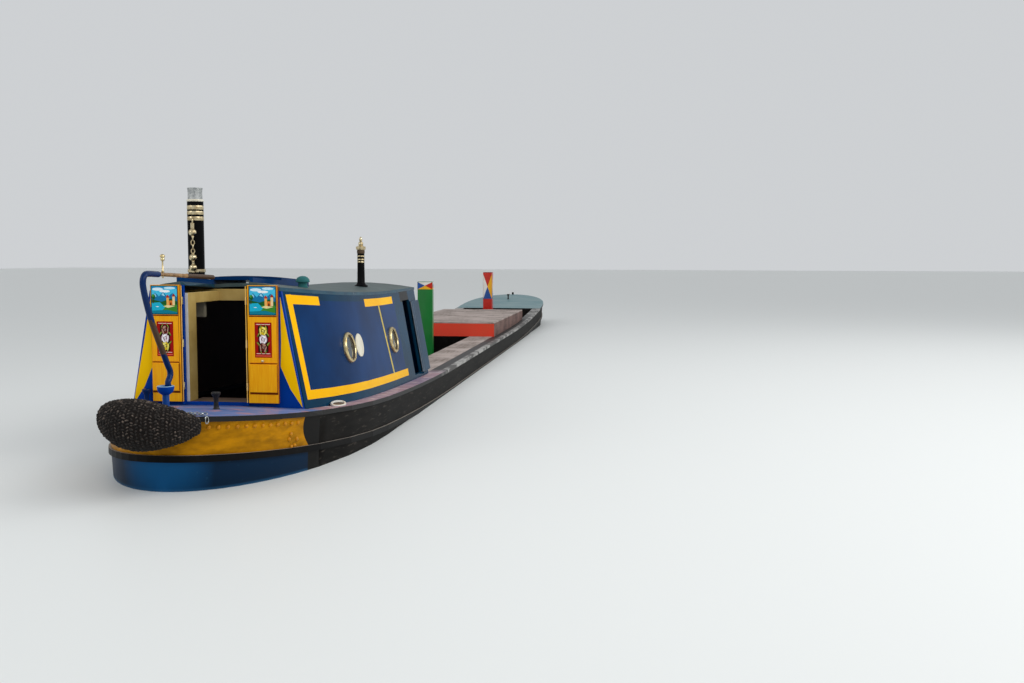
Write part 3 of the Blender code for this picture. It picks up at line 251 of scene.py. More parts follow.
# Painted shade: the blue darkens from the stern's end forward round the quarters
quarter_shade = add(counter_finish, "MapRange", {}, {"Value": place.outputs["X"], "From Min": -10.66,
                                            "From Max": -10.40})
rubs = add(counter_finish, "TexNoise", {}, {"Vector": add(counter_finish, "TexCoord").outputs["Object"],
                                            "Scale": 14.0, "Detail": 8.0, "Roughness": 0.75})
scuffed = add(counter_finish, "MapRange", {}, {"Value": rubs.outputs[0], "From Min": 0.62, "From Max": 0.72,
                                               "To Max": 0.35})
blue = add(counter_finish, "Mix", {"data_type": "RGBA"},
           {0: quarter_shade.outputs[0], 6: linear("#12649f"), 7: linear("#06233c")})
faded = add(counter_finish, "Mix", {"data_type": "RGBA"},
            {0: scuffed.outputs[0], 6: blue.outputs[2], 7: linear("#3c6d8c")})
# The blue is lighter in a band just above the waterline
low_band = add(counter_finish, "MapRange", {}, {"Value": place.outputs["Z"], "From Min": 0.975, "From Max": 0.955,
                                            "To Max": 0.7})
light_low_band = add(counter_finish, "Mix", {"data_type": "RGBA"},
               {0: low_band.outputs[0], 6: faded.outputs[2], 7: linear("#2b5f86")})
blue_end = add(counter_finish, "Math", {"operation": "LESS_THAN"}, {0: place.outputs["X"], 1: BLUE_END})
lower = add(counter_finish, "Mix", {"data_type": "RGBA"},
            {0: blue_end.outputs[0], 6: black, 7: light_low_band.outputs[2]}).outputs[2]
banded = add(counter_finish, "Mix", {"data_type": "RGBA"}, {0: over.outputs[0], 6: lower, 7: upper})
counter_finish.node_tree.links.new(banded.outputs[2], shader.inputs["Base Color"])


def fit(name, shape, finishes, body, stands_for=(), smooth=0, turn_out=True):
    """Make a piece of the boat from a bmesh; smooth is the angle above which edges stay sharp.

    turn_out is off for loose faces, which already face the right way."""
    if turn_out:
        bmesh.ops.recalc_face_normals(shape, faces=shape.faces)
    for face in shape.faces:
        face.smooth = smooth > 0
    mesh = bpy.data.meshes.new(name)
    shape.to_mesh(mesh)
    shape.free()
    if smooth:
        mesh.set_sharp_from_angle(angle=math.radians(smooth))
    for finish in finishes:
        mesh.materials.append(finish)
    item = bpy.data.objects.new(name, mesh)
    bpy.context.scene.collection.objects.link(item)
    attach(item, body)
    if stands_for:
        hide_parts(*stands_for)
    return item


def merged(node):
    """A node's own shape, with the corners that its faces share made one."""
    shape = bmesh.new()
    shape.from_mesh(SHOWN[node].data)
    bmesh.ops.remove_doubles(shape, verts=shape.verts, dist=1e-5)
    return shape


def plated(node, finish, smooth=30, body="hull"):
    """A node's own shape with its bent plates shaded as one curve."""
    fit(node + "_plating", merged(node), [finish], body, [node], smooth)


plated("counter", counter_finish)
for node in pair("side_plates", "bow_plates", "swim_plates", "quarter_plates"):
    plated(node, blacking)
for node in pair("guard"):
    plated(node, guard_steel)


def deck_height(x):
    """Height of the gunwale's top, as it rises to the stern."""
    level, rise, start, run = 1.241, 0.178, -4.52, 5.0
    return level + rise * max(0.0, (start - x) / run) ** 2


def counter_edge(x):
    """Height of the deck's edge round the counter, where it leaves the gunwale's line."""
    rise, run = 0.020, 1.15
    return deck_height(x) + rise * max(0.0, (AFT - x) / run) ** 2


def stern_point(a):
    """A point of the counter's edge in plan, by its angle from the side round to the end."""
    return STERN_START - STERN_RUN * math.sin(a) ** (2 / STERN_POWER), HALF_BEAM * math.cos(a)


def aimed(direction):
    """A turn that lays a shape's own Z along a direction."""
    return direction.to_track_quat("Z", "Y").to_matrix().to_4x4()


plating = bmesh.new()
plating.from_mesh(SHOWN["counter"].data)
skin = BVHTree.FromBMesh(plating)
plating.free()
RIVET_RADIUS, RIVET_SPACING, RIVET_DROP = 0.0165, 0.072, 0.084
RIVETS_END = -9.745
LAP_RIVETS = ((-9.867, 1.280), (-9.878, 1.239), (-9.798, 1.228), (-9.850, 1.178), (-9.817, 1.182))
aims = []
for k in range(1, 900):
    a = math.pi * k / 900
    x, y = stern_point(a)
    aims.append((Vector((x, y, counter_edge(x) - RIVET_DROP)),
                 Vector((-math.sin(a), math.cos(a), 0)).normalized()))
seats = []
for spot, out in aims:
    found, facing = skin.ray_cast(spot + out * 0.3, -out)[:2]
    if found and found.x < RIVETS_END and (not seats or (found - seats[-1][0]).length > RIVET_SPACING):
        seats.append((found, facing))
for sign in (-1, 1):
    for x, z in LAP_RIVETS:
        seats.append(skin.ray_cast(Vector((x, sign * 1.3, z)), Vector((0, -sign, 0)))[:2])
rivets = bmesh.new()
for spot, facing in seats:
    domed = Matrix.Translation(spot) @ aimed(facing) @ Matrix.Diagonal((1, 1, 0.95, 1))
    bmesh.ops.create_icosphere(rivets, subdivisions=2, radius=RIVET_RADIUS, matrix=domed)
rivet_finish = worn_paint("painted rivets", "#d08a00", "#a86c00", "#5f4410", 0.02, 0.2, 0.35)
fit("counter_rivets", rivets, [rivet_finish], "hull", smooth=60)

# The decks and gunwales: steel plate in worn deck paint, pink by the cabin, blue on the counter and grey
# blue on the foredeck, with black sides. By the hold the gunwale is black, rubbed grey at its outer edge.


def deck_paint(name, base, shade, worn, wear=0.62):
    finish, shader, colour = paint_parts(name, base, shade, worn, 0.30, wear, 0.5, stretch=(1, 0.5, 1))
    facing = add(finish, "SeparateXYZ", {}, {0: add(finish, "NewGeometry").outputs["Normal"]})
    level = add(finish, "Math", {"operation": "GREATER_THAN"}, {0: facing.outputs["Z"], 1: 0.5})
    sided = add(finish, "Mix", {"data_type": "RGBA"},
                {0: level.outputs[0], 6: linear("#141313"), 7: colour})
    finish.node_tree.links.new(sided.outputs[2], shader.inputs["Base Color"])
    return finish, shader, sided.outputs[2]


deck_blue = deck_paint("worn blue deck paint", "#3f6ca6", "#7a86b4", "#a8808e")[0]
plated("counter_deck", deck_blue)
deck_grey = deck_paint("weathered foredeck paint", "#668a90", "#7f999c", "#a5aeac", 0.35)[0]
plated("foredeck", deck_grey)
gunwale_pink, shader, colour = deck_paint("worn pink gunwale paint", "#a4808a", "#8f7d95", "#c9b4b8")
place = add(gunwale_pink, "SeparateXYZ", {}, {0: add(gunwale_pink, "TexCoord").outputs["Object"]})
forward = add(gunwale_pink, "MapRange", {}, {"Value": place.outputs["X"], "From Min": -5.4,
                                             "From Max": -4.9})
spots = add(gunwale_pink, "TexNoise", {}, {"Vector": add(gunwale_pink, "TexCoord").outputs["Object"],
                                           "Scale": 6.0, "Detail": 5.0})
patches = add(gunwale_pink, "MapRange", {}, {"Value": spots.outputs[0], "From Min": 0.45,
                                             "From Max": 0.55})
scuffs = add(gunwale_pink, "Mix", {"data_type": "RGBA"},
             {0: patches.outputs[0], 6: linear("#4a4745"), 7: linear("#a3a19d")})
off_centre = add(gunwale_pink, "Math", {"operation": "ABSOLUTE"}, {0: place.outputs["Y"]})
outer = add(gunwale_pink, "MapRange", {}, {"Value": off_centre.outputs[0], "From Min": 0.985,
                                           "From Max": 1.000})
far_on = add(gunwale_pink, "MapRange", {}, {"Value": place.outputs["X"], "From Min": 5.0, "From Max": 6.5})
either = add(gunwale_pink, "Math", {"operation": "MAXIMUM"}, {0: outer.outputs[0], 1: far_on.outputs[0]})
rubbed = add(gunwale_pink, "Mix", {"data_type": "RGBA"},
             {0: either.outputs[0], 6: linear("#1d1b1a"), 7: scuffs.outputs[2]})
mixed = add(gunwale_pink, "Mix", {"data_type": "RGBA"},
            {0: forward.outputs[0], 6: colour, 7: rubbed.outputs[2]})
gunwale_pink.node_tree.links.new(mixed.outputs[2], shader.inputs["Base Color"])
for node in pair("gunwale"):
    plated(node, gunwale_pink)

# The hold: softwood boards, bare and gone grey, on steel. The side decks and the raised deck are laid
# as separate boards with open joints; the raised deck stands on a red front and brown side boards.


def bare_wood(name, base, shade, dark, along=(1, 0, 0)):
    """Weathered boards with grain along one axis.

    Its lines lie about 17 mm apart, coarser than real ones, so that they show."""
    finish, shader = start_finish(name, 0.85)
    place = add(finish, "TexCoord").outputs["Object"]
    stretch = [3.0 if axis else 60.0 for axis in along]
    drawn = add(finish, "Mapping", {}, {"Vector": place, "Scale": stretch}).outputs[0]
    grain = add(finish, "TexNoise", {}, {"Vector": drawn, "Scale": 1.0, "Detail": 5.0, "Distortion": 0.6})
    lines = add(finish, "MapRange", {}, {"Value": grain.outputs[0], "From Min": 0.38, "From Max": 0.62})
    stain = add(finish, "TexNoise", {}, {"Vector": place, "Scale": 2.2, "Detail": 6.0})
    patch = add(finish, "MapRange", {}, {"Value": stain.outputs[0], "From Min": 0.4, "From Max": 0.62})
    wood = add(finish, "Mix", {"data_type": "RGBA"},
               {0: lines.outputs[0], 6: linear(dark), 7: linear(base)}).outputs[2]
    colour = add(finish, "Mix", {"data_type": "RGBA"}, {0: patch.outputs[0], 6: wood, 7: linear(shade)})
    relief = add(finish, "Bump", {}, {"Strength": 0.5, "Distance": 0.002, "Height": grain.outputs[0]})
    finish.node_tree.links.new(colour.outputs[2], shader.inputs["Base Color"])
    finish.node_tree.links.new(relief.outputs[0], shader.inputs["Normal"])
    return finish


grey_boards = bare_wood("weathered deck boards", "#a3958d", "#b3a49d", "#776a62")
floor_boards = bare_wood("hold floor boards", "#7b6a58", "#6a5b4c", "#4c4036")
dress(floor_boards, "hold_floor")


def board(shape, low, high, bevel=0.003):
    """A sawn board between two corners, with its edges eased."""
    size = [b - a for a, b in zip(low, high)]
    middle = [(a + b) / 2 for a, b in zip(low, high)]
    corners = bmesh.ops.create_cube(shape, size=1.0, matrix=Matrix.Translation(middle)
                                    @ Matrix.Diagonal((*size, 1.0)))["verts"]
    around = list({edge for vert in corners for edge in vert.link_edges})
    if bevel:
        bmesh.ops.bevel(shape, geom=around, offset=bevel, affect="EDGES", segments=1, profile=0.5,
                        material=-1)


SIDE_DECK_BOARDS = 6
for word, sign in (("port", 1), ("starboard", -1)):
    low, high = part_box("side_deck_" + word)
    rows = bmesh.new()
    inner, outer = sorted((abs(low.y), abs(high.y)))
    width = (outer - inner) / 2
    for row in range(2):
        shift = 0.35 * row
        for number in range(SIDE_DECK_BOARDS + 1):
            run = (high.x - low.x) / SIDE_DECK_BOARDS
            start = max(low.x, low.x + run * (number - shift))
            end = min(high.x, low.x + run * (number + 1 - shift))
            if end - start < 0.1:
                continue
            near = sign * (inner + width * row + 0.002)
            far = sign * (inner + width * (row + 1) - 0.002)
            drop = 0.001 * ((number * 3 + row) % 3)
            first, last = deck_height(start + 0.05), deck_height(end - 0.05)
            corners = bmesh.ops.create_cube(rows, size=1.0)["verts"]
            for vert in corners:
                fore = vert.co.x > 0
                vert.co = Vector((end - 0.002 if fore else start + 0.002,
                                  far if vert.co.y > 0 else near,
                                  (last if fore else first) - drop - (0.0 if vert.co.z > 0 else 0.028)))
            bmesh.ops.bevel(rows, geom=list({e for v in corners for e in v.link_edges}), offset=0.003,
                            affect="EDGES", segments=1, profile=0.5, material=-1)
    fit("side_deck_boards_" + word, rows, [grey_boards], "hull", ["side_deck_" + word])

low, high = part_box("raised_deck")
RAISED_BOARDS = 9
rows = bmesh.new()
width = (high.y - low.y) / RAISED_BOARDS
for row in range(RAISED_BOARDS):
    joint = low.x + (high.x - low.x) * (0.55 if row % 2 else 0.42)
    drop = 0.0008 * (row % 3)
    for start, end in ((low.x, joint), (joint, high.x)):
        board(rows, (start + 0.001, low.y + width * row + 0.002, low.z),
              (end - 0.001, low.y + width * (row + 1) - 0.002, high.z - drop))
fit("raised_deck_boards", rows, [grey_boards], "hull", ["raised_deck"])

red_oxide = worn_paint("red oxide boards", "#e2402b", "#d8482f", "#a83a2a", 0.3, 0.3, 0.5)
brown_boards = bare_wood("brown side boards", "#6d5149", "#7c5f57", "#4b3833")
coaming = merged("raised_coaming")
for face in coaming.faces:
    face.material_index = 0 if abs(face.normal.x) > 0.5 else 1
fit("raised_coaming_boards", coaming, [red_oxide, brown_boards], "hull",
    ["raised_coaming"])

# The stand and the box mast: square softwood posts that rise from the hold. They are gloss painted, with
# four triangles on each face at the head, in the boats' traditional colours.

green_paint = worn_paint("green gloss paint", "#1c7a33", "#186b2c", "#3b5a3c", 0.2, 0.2, 0.3,
                         stretch=(1, 1, 0.4), coat=0.4)
white_paint = worn_paint("white gloss paint", "#e8e6df", "#dedbd2", "#b9b2a3", 0.1, 0.2, 0.3, coat=0.4)
red_paint = worn_paint("red gloss paint", "#c8281a", "#b82215", "#8e3a2c", 0.1, 0.2, 0.3, coat=0.4)
yellow_paint = worn_paint("yellow gloss paint", "#f0b411", "#e4a50d", "#b98a2c", 0.1, 0.18, 0.3, coat=0.4)
blue_paint = worn_paint("blue gloss paint", "#1c4f9c", "#17478f", "#3f5f8f", 0.1, 0.2, 0.3, coat=0.4)


def painted_post(name, node, base, rows):
    """A post whose faces carry rows of four triangles that meet in the middle of each row.

    A row is its foot, its head, and its finishes below, to port, above and to starboard."""
    low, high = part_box(node)
    shape = bmesh.new()
    board(shape, low, high, 0.006)
    for bottom, top, order in rows:
        for axis, sign in ((0, 1), (0, -1), (1, 1), (1, -1)):
            near, far = low[1 - axis] + 0.004, high[1 - axis] - 0.004
            flat = (high if sign > 0 else low)[axis] + sign * 0.0008
            corners = [(near, bottom), (far, bottom), (far, top), (near, top)]
            points = []
            for across, up in corners + [((near + far) / 2, (bottom + top) / 2)]:
                spot = [0.0, 0.0, up]
                spot[axis], spot[1 - axis] = flat, across
                points.append(shape.verts.new(spot))
            for i, colour_number in enumerate(order):
                face = shape.faces.new((points[i], points[(i + 1) % 4], points[4]))
                face.material_index = colour_number
    return fit(name, shape, [base, white_paint, red_paint, blue_paint, yellow_paint], "hull", [node])


low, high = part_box("plank_stand")
painted_post("painted_plank_stand", "plank_stand", green_paint,
             [(high.z - 0.125, high.z - 0.008, (4, 3, 1, 2))])
low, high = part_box("box_mast")
mast = painted_post("painted_box_mast", "box_mast", red_paint,
                    [(high.z - 0.62, high.z - 0.045, (3, 1, 2, 4))])
mast.data.materials.append(blacking)
for face in mast.data.polygons:
    if face.center.z > high.z - 0.010:
        face.material_index = 5

# The cabin: welded steel sides that lean in, in dark royal blue coach enamel, brushed out and glossy.
# The signwriter's yellow border is cut into the sides' own faces, so that its edges are crisp.


def coach_enamel(name, base, shade, roughness=0.18, patches=0.6):
    """Enamel with faint brush marks, under a film of dust that holds its reflections back."""
    finish, shader = paint_parts(name, base, shade, shade, patches, 0.05, roughness, bump=0.05)[:2]
    shader.inputs["Specular IOR Level"].default_value = 0.03
    return finish


cabin_blue = coach_enamel("royal blue coach enamel", "#093668", "#072a52")
border_blue = coach_enamel("dark blue coach enamel", "#0c3a55", "#0a2c42")
wall_blue = coach_enamel("bright blue coach enamel", "#0640a0", "#053585")
border_yellow = coach_enamel("yellow coach enamel", "#f9bd05", "#f2b000", 0.25)
pale_yellow = coach_enamel("pale yellow line", "#cdb75a", "#bfa84c", 0.3)
opening_shade_black = coach_enamel("black enamel painted as shade over the engine door", "#0a0b0d", "#101114")
lining_board, shader = start_finish("stained cabin lining", 0.6)
place = add(lining_board, "TexCoord").outputs["Object"]
drawn = add(lining_board, "Mapping", {}, {"Vector": place, "Scale": (60.0, 60.0, 3.0)}).outputs[0]
grain = add(lining_board, "TexNoise", {}, {"Vector": drawn, "Scale": 1.0, "Detail": 5.0})
stained = add(lining_board, "Mix", {"data_type": "RGBA"},
              {0: grain.outputs[0], 6: linear("#2a1a12"), 7: linear("#55372a")})
lining_board.node_tree.links.new(stained.outputs[2], shader.inputs["Base Color"])


def roof_edge(x):
    """Height of the roof's edge, which rises over the aft end of the cabin."""
    level, rise, run = 2.295, 0.117, 3.0
    return level + rise * max(0.0, 1 - (x - AFT) / run) ** 2


def paint_area(shape, outline, number, axis):
    """Cut a convex outline of (across, z) into a shape's faces and give them a finish."""
    middle = Vector([sum(values) / len(outline) for values in zip(*outline)])
    planes = []
    for (a, b), (c, d) in zip(outline, outline[1:] + outline[:1]):
        normal = Vector((d - b, a - c))
        normal = normal if normal.dot(middle - Vector((a, b))) < 0 else -normal
        spot, out = Vector((0, 0, b)), Vector((0, 0, normal.y))
        spot[axis], out[axis] = a, normal.x
        planes.append((spot, out.normalized()))
        everything = shape.verts[:] + shape.edges[:] + shape.faces[:]
        bmesh.ops.bisect_plane(shape, geom=everything, dist=1e-6, plane_co=spot, plane_no=out)
    for face in shape.faces:
        centre = face.calc_center_median()
        if all((centre - spot).dot(out) < 0 for spot, out in planes):
            face.material_index = number


def paint_band(shape, first, last, near, far, number):
    """Paint a cabin side from one place to another, between two lines that are heights by X."""
    a, b = AFT + first, AFT + last
    paint_area(shape, [(a, near(a)), (b, near(b)), (b, far(b)), (a, far(a))], number, 0)


# Lengths run forward from the bulkhead. A border lies below the roof or above the deck by its gap.
BAND = 0.076
PANEL_CUTS, PANEL_HEAD, PANEL_FOOT = (0.16, 0.5, 1.0, 1.5, 2.0, 2.5, 3.06), 0.09, 0.12
HEAD_BORDER = ((0.068, 0.61, 0.055), (1.86, 2.0, 0.068), (2.0, 2.5, 0.068), (2.5, 3.0, 0.068))
FOOT_CUTS, FOOT_GAP = (0.09, 0.5, 1.0, 1.5, 2.0, 2.5, 3.15), 0.074
COLUMN = ((0.068, 0.150), (0.090, 0.166))
DIVIDER = ((2.355, 2.405), (2.497, 2.545))


def line_inside(shape, sign, axis, number):
    """Give the inner face of a wall its lining."""
    for face in shape.faces:
        if face.normal[axis] * sign < -0.5:
            face.material_index = number


def even_shading(item, sign, reach=0.35):
    """Give a bent panel's outer faces normals that turn evenly along X, whatever cuts they have."""
    step = 0.25
    outer = [face for face in item.data.polygons if face.normal.y * sign > 0.7]
    turning = {}
    for number in range(-40, 10):
        spot = step * number
        turning[number] = sum((face.normal * face.area * math.exp(-((face.center.x - spot) / reach) ** 2)
                               for face in outer), Vector()).normalized()
    normals = [tuple(corner.vector) for corner in item.data.corner_normals]
    for face in outer:
        for corner in face.loop_indices:
            far = item.data.vertices[item.data.loops[corner].vertex_index].co.x / step
            before = math.floor(far)
            if before in turning and before + 1 in turning:
                normals[corner] = tuple(turning[before].lerp(turning[before + 1], far - before).normalized())
    item.data.normals_split_custom_set(normals)


for word, sign in (("port", 1), ("starboard", -1)):
    side = merged("cabin_side_" + word)
    for first, last in zip(PANEL_CUTS, PANEL_CUTS[1:]):
        paint_band(side, first, last, lambda x: roof_edge(x) - PANEL_HEAD,
                   lambda x: deck_height(x) + PANEL_FOOT, 3)
    for first, last, gap in HEAD_BORDER:
        paint_band(side, first, last, lambda x: roof_edge(x) - gap, lambda x: roof_edge(x) - gap - BAND, 1)
    for first, last in zip(FOOT_CUTS, FOOT_CUTS[1:]):
        paint_band(side, first, last, lambda x: deck_height(x) + FOOT_GAP,
                   lambda x: deck_height(x) + FOOT_GAP + BAND, 1)
    for columns, head, foot, number in ((COLUMN, 2.350, 1.490, 1), (DIVIDER, 2.155, 1.425, 2)):
        (a, b), (c, d) = columns
        paint_area(side, [(AFT + a, head), (AFT + b, head), (AFT + d, foot), (AFT + c, foot)], number, 0)
    # Painted shade: a black patch over the engine door, standing for its dark opening running up to the roof
    paint_area(side, [(AFT + 3.36, 2.285), (AFT + 3.77, 2.285), (AFT + 3.79, 2.15), (AFT + 3.38, 2.15)], 5, 0)
    line_inside(side, sign, 1, 4)
    panels = fit("cabin_side_panels_" + word, side,
                 [border_blue, border_yellow, pale_yellow, cabin_blue, lining_board, opening_shade_black],
                 "hull", ["cabin_side_" + word], smooth=30)
    even_shading(panels, sign)

wall = merged("aft_bulkhead")
for sign in (-1, 1):
    for outline in (((0.549, 2.33), (0.552, 2.33), (0.615, 1.985), (0.553, 1.985)),
                    ((0.553, 1.985), (0.615, 1.985), (0.660, 1.766), (0.546, 1.766)),
                    ((0.546, 1.766), (0.660, 1.766), (0.697, 1.585), (0.625, 1.585)),
                    ((0.625, 1.585), (0.697, 1.585), (0.726, 1.436), (0.724, 1.436))):
        paint_area(wall, [(sign * y, z) for y, z in outline], 1, 1)
line_inside(wall, -1, 0, 2)
# Painted light: the bulkhead's yellow is a lighter copy of the border yellow, for the stronger light on the
# bulkhead
lit_wall_yellow = coach_enamel("bright yellow coach enamel", "#ffca0a", "#fac004", 0.25)
fit("aft_bulkhead_panels", wall, [wall_blue, lit_wall_yellow, lining_board], "hull",
    ["aft_bulkhead"])
dress(cabin_blue, "engine_bulkhead", "hatch", *pair("hatch_runner"))
edge_grey = worn_paint("rubbed grey door edge", "#8e99a4", "#76828e", "#4c545c", 0.05, 0.35, 0.4)
for word in ("port", "starboard"):
    leaf = bmesh.new()
    leaf.from_mesh(SHOWN["engine_door_" + word].data)
    for face in leaf.faces:
        face.material_index = int(abs(face.normal.y) < 0.7)
    fit("engine_door_leaf_" + word, leaf, [border_blue, edge_grey], "engine_door_" + word,
        ["engine_door_" + word])
roof_paint = worn_paint("dark green roof paint", "#3c4c4c", "#4c5a59", "#8a918e", 0.35, 0.30, 0.55)
# The roof's sides: dark blue green, with lighter patches and pale flecks that are partly rubbed paint and
# partly a painted highlight along the rounded edge
roof_side_paint_and_highlight = worn_paint("dark roof edge with painted highlight", "#12384c", "#1d4a5c", "#8f9aa0", 0.15, 0.35, 0.4)
roof = merged("cabin_roof")
for face in roof.faces:
    face.material_index = int(abs(face.normal.y) > 0.7)
fit("cabin_roof_sheet", roof, [roof_paint, roof_side_paint_and_highlight], "hull", ["cabin_roof"], smooth=30)

# The portholes: cast brass rims, polished and held to the cabin sides by six small bolts, and brown
# on their inner lip round the glass. Their toughened glass is an opaque dark disc, painted as the
# shade inside the cabin.


def metal(name, base, shade, roughness, size=0.04):
    """Handled metal: bright, with duller tarnish in patches."""
    finish, shader = start_finish(name, roughness, metallic=1.0)
    place = add(finish, "TexCoord").outputs["Object"]
    patch = add(finish, "TexNoise", {}, {"Vector": place, "Scale": 1 / size, "Detail": 6.0})
    tone = add(finish, "MapRange", {}, {"Value": patch.outputs[0], "From Min": 0.40, "From Max": 0.68})
    colour = add(finish, "Mix", {"data_type": "RGBA"},
                 {0: tone.outputs[0], 6: linear(base), 7: linear(shade)})
    dull = add(finish, "MapRange", {}, {"Value": tone.outputs[0], "To Min": roughness,
                                        "To Max": roughness + 0.25})
    finish.node_tree.links.new(colour.outputs[2], shader.inputs["Base Color"])
    finish.node_tree.links.new(dull.outputs[0], shader.inputs["Roughness"])
    return finish


def turned(rows, frame_matrix, steps=40, shape=None):
    """Spin (radius, height) rows about their own axis, and put them in a place."""
    shape = shape or bmesh.new()
    verts = [shape.verts.new((radius, 0.0, height)) for radius, height in rows]
    edges = [shape.edges.new(two) for two in zip(verts, verts[1:])]
    bmesh.ops.spin(shape, geom=verts + edges, cent=(0, 0, 0), axis=(0, 0, 1),
                   angle=math.tau, steps=steps, use_merge=True)
    new = [v for v in shape.verts if not v.tag]
    bmesh.ops.transform(shape, matrix=frame_matrix, verts=new)
    for vert in shape.verts:
        vert.tag = True
    bmesh.ops.remove_doubles(shape, verts=new, dist=1e-5)
    return shape


brass = metal("polished brass", "#dccb9c", "#b39a68", 0.16)
rim_inner_brown = worn_paint("brown inner lip of the porthole rim", "#3a2418", "#24160f", "#6b5240", 0.02, 0.3, 0.6)
# Painted shade: the pane is an opaque dark disc that stands for the dark cabin behind the glass
glass, shader = start_finish("porthole glass", 0.04)
shader.inputs["Base Color"].default_value = linear("#1d2a33")
shader.inputs["IOR"].default_value = 1.52
# The part's waterline, which some heights from here on are given over
WATER = 0.90


def wall_frame(x, z, sign):
    """Axes on a cabin side at (x, z): X forward along it, Y up it and Z out of it."""
    set_in, lean, below_roof, facet = 0.160, 0.180, 0.030, 0.5

    def corners(place):
        base = sign * (stern_half(HALF_BEAM, STERN_RUN, place) - set_in)
        return (Vector((place, base, deck_height(place))),
                Vector((place, base - sign * lean, roof_edge(place) - below_roof)))
    aft = AFT + facet * math.floor((x - AFT) / facet)
    foot, head = corners(aft)
    fore_foot = corners(aft + facet)[0]
    out = (head - foot).cross(fore_foot - foot).normalized() * sign
    up = (head - foot).normalized()
    along = up.cross(out).normalized()
    y = foot.y - (out.x * (x - foot.x) + out.z * (z - foot.z)) / out.y
    return Matrix.Translation((x, y, z)) @ Matrix((along, out.cross(along), out)).transposed().to_4x4()


for word, sign in (("port", 1), ("starboard", -1)):
    for number, (x, z) in enumerate(((1.08, 0.93), (2.70, 0.87)), 1):
        at = wall_frame(AFT + x, WATER + z, sign)
        rim = turned([(0.105, -0.002), (0.142, -0.002), (0.142, 0.014), (0.138, 0.026), (0.129, 0.032),
                      (0.121, 0.031), (0.117, 0.022), (0.105, 0.014), (0.105, -0.002)], at)
        # The inner lip round the glass is given the brown finish
        for face in rim.faces:
            inward = at.inverted() @ face.calc_center_median()
            face.material_index = int(math.hypot(inward.x, inward.y) < 0.118 and inward.z > 0.010)
        for k in range(6):
            turn = at @ Matrix.Rotation(math.tau * k / 6, 4, "Z") @ Matrix.Translation((0.122, 0, 0.032))
            bmesh.ops.create_uvsphere(rim, u_segments=10, v_segments=6, radius=0.006, matrix=turn)
        fit(f"porthole_rim_{word}_{number}", rim, [brass, rim_inner_brown], "hull",
            [f"porthole_{word}_{number}"], smooth=40)
        pane = turned([(0.0, 0.010), (0.106, 0.010), (0.106, 0.001), (0.0, 0.001)], at)
        fit(f"porthole_pane_{word}_{number}", pane, [glass], "hull", smooth=40)

# The round plate beside the aft porthole: a pressed steel disc with a rolled rim, enamelled cream and
# left blank. Only the starboard side carries one.

cream_paint = worn_paint("cream enamel", "#e2ddcb", "#d5cdb6", "#b8ab8a", 0.08, 0.15, 0.3, coat=0.3)
plate = turned([(0.0, 0.006), (0.097, 0.006), (0.102, 0.0045), (0.107, 0.007), (0.110, 0.006),
                (0.111, -0.002)],
               wall_frame(AFT + 1.41, WATER + 0.926, -1), 40)
fit("blank_round_plate", plate, [cream_paint], "hull", smooth=40)

# The cabin doors: pine leaves about 25 mm thick, scumbled and grained in golden oak under varnish.
# Each has a painted landscape above, roses on a red panel below it, and a raised panel at the foot.
# They hang folded back flat on the bulkhead, so that their inner, painted faces show.


def scumble_finish(name, base, dark, roughness=0.3):
    """Combed grain under gloss varnish, drawn about 11 mm apart, coarser than real so that it shows."""
    finish, shader = start_finish(name, roughness)
    shader.inputs["Specular IOR Level"].default_value = 0.08
    place = add(finish, "TexCoord").outputs["Object"]
    drawn = add(finish, "Mapping", {}, {"Vector": place, "Scale": (90.0, 90.0, 5.0)}).outputs[0]
    comb = add(finish, "TexNoise", {}, {"Vector": drawn, "Scale": 1.0, "Detail": 3.0, "Distortion": 0.8})
    lines = add(finish, "MapRange", {}, {"Value": comb.outputs[0], "From Min": 0.35, "From Max": 0.65})
    cloud = add(finish, "TexNoise", {}, {"Vector": place, "Scale": 9.0, "Detail": 3.0})
    patch = add(finish, "MapRange", {}, {"Value": cloud.outputs[0], "From Min": 0.3, "From Max": 0.8,
                                         "To Max": 0.5})
    grained = add(finish, "Mix", {"data_type": "RGBA"},
                  {0: lines.outputs[0], 6: linear(dark), 7: linear(base)}).outputs[2]
    colour = add(finish, "Mix", {"data_type": "RGBA"}, {0: patch.outputs[0], 6: grained, 7: linear(dark)})
    relief = add(finish, "Bump", {}, {"Strength": 0.15, "Distance": 0.001, "Height": comb.outputs[0]})
    finish.node_tree.links.new(colour.outputs[2], shader.inputs["Base Color"])
    finish.node_tree.links.new(relief.outputs[0], shader.inputs["Normal"])
    return finish


door_scumble = scumble_finish("golden oak scumble", "#ffbb1c", "#f7a310")
edge_scumble = scumble_finish("edge scumble", "#b86a1c", "#8a4a14")
painted_shadow_line = scumble_finish("painted shadow line", "#8a3c0c", "#5f260a")
painted_highlight_line = scumble_finish("painted highlight line", "#ffd27a", "#f7bd52")
artist_enamel, shader = start_finish("artist's enamel", 0.3)
shader.inputs["Specular IOR Level"].default_value = 0.08
pigment = add(artist_enamel, "Attribute", {"attribute_name": "paint"})
strokes = add(artist_enamel, "TexNoise", {}, {"Vector": add(artist_enamel, "TexCoord").outputs["Object"],
                                              "Scale": 140.0, "Detail": 2.0})
light = add(artist_enamel, "MapRange", {}, {"Value": strokes.outputs[0], "To Min": 0.75, "To Max": 1.25})
brushed = add(artist_enamel, "HueSaturation", {}, {"Color": pigment.outputs["Color"],
                                                   "Value": light.outputs[0]})
artist_enamel.node_tree.links.new(brushed.outputs[0], shader.inputs["Base Color"])
LEAF = {"inner": 0.284, "outer": 0.540, "foot": 1.467, "head": 2.427, "back": -9.530, "face": -9.553}
SCENE_AREA = (0.3005, 0.5315, 2.1845, 2.4225)
ROSE_AREA = (0.346, 0.489, 1.842, 2.128)


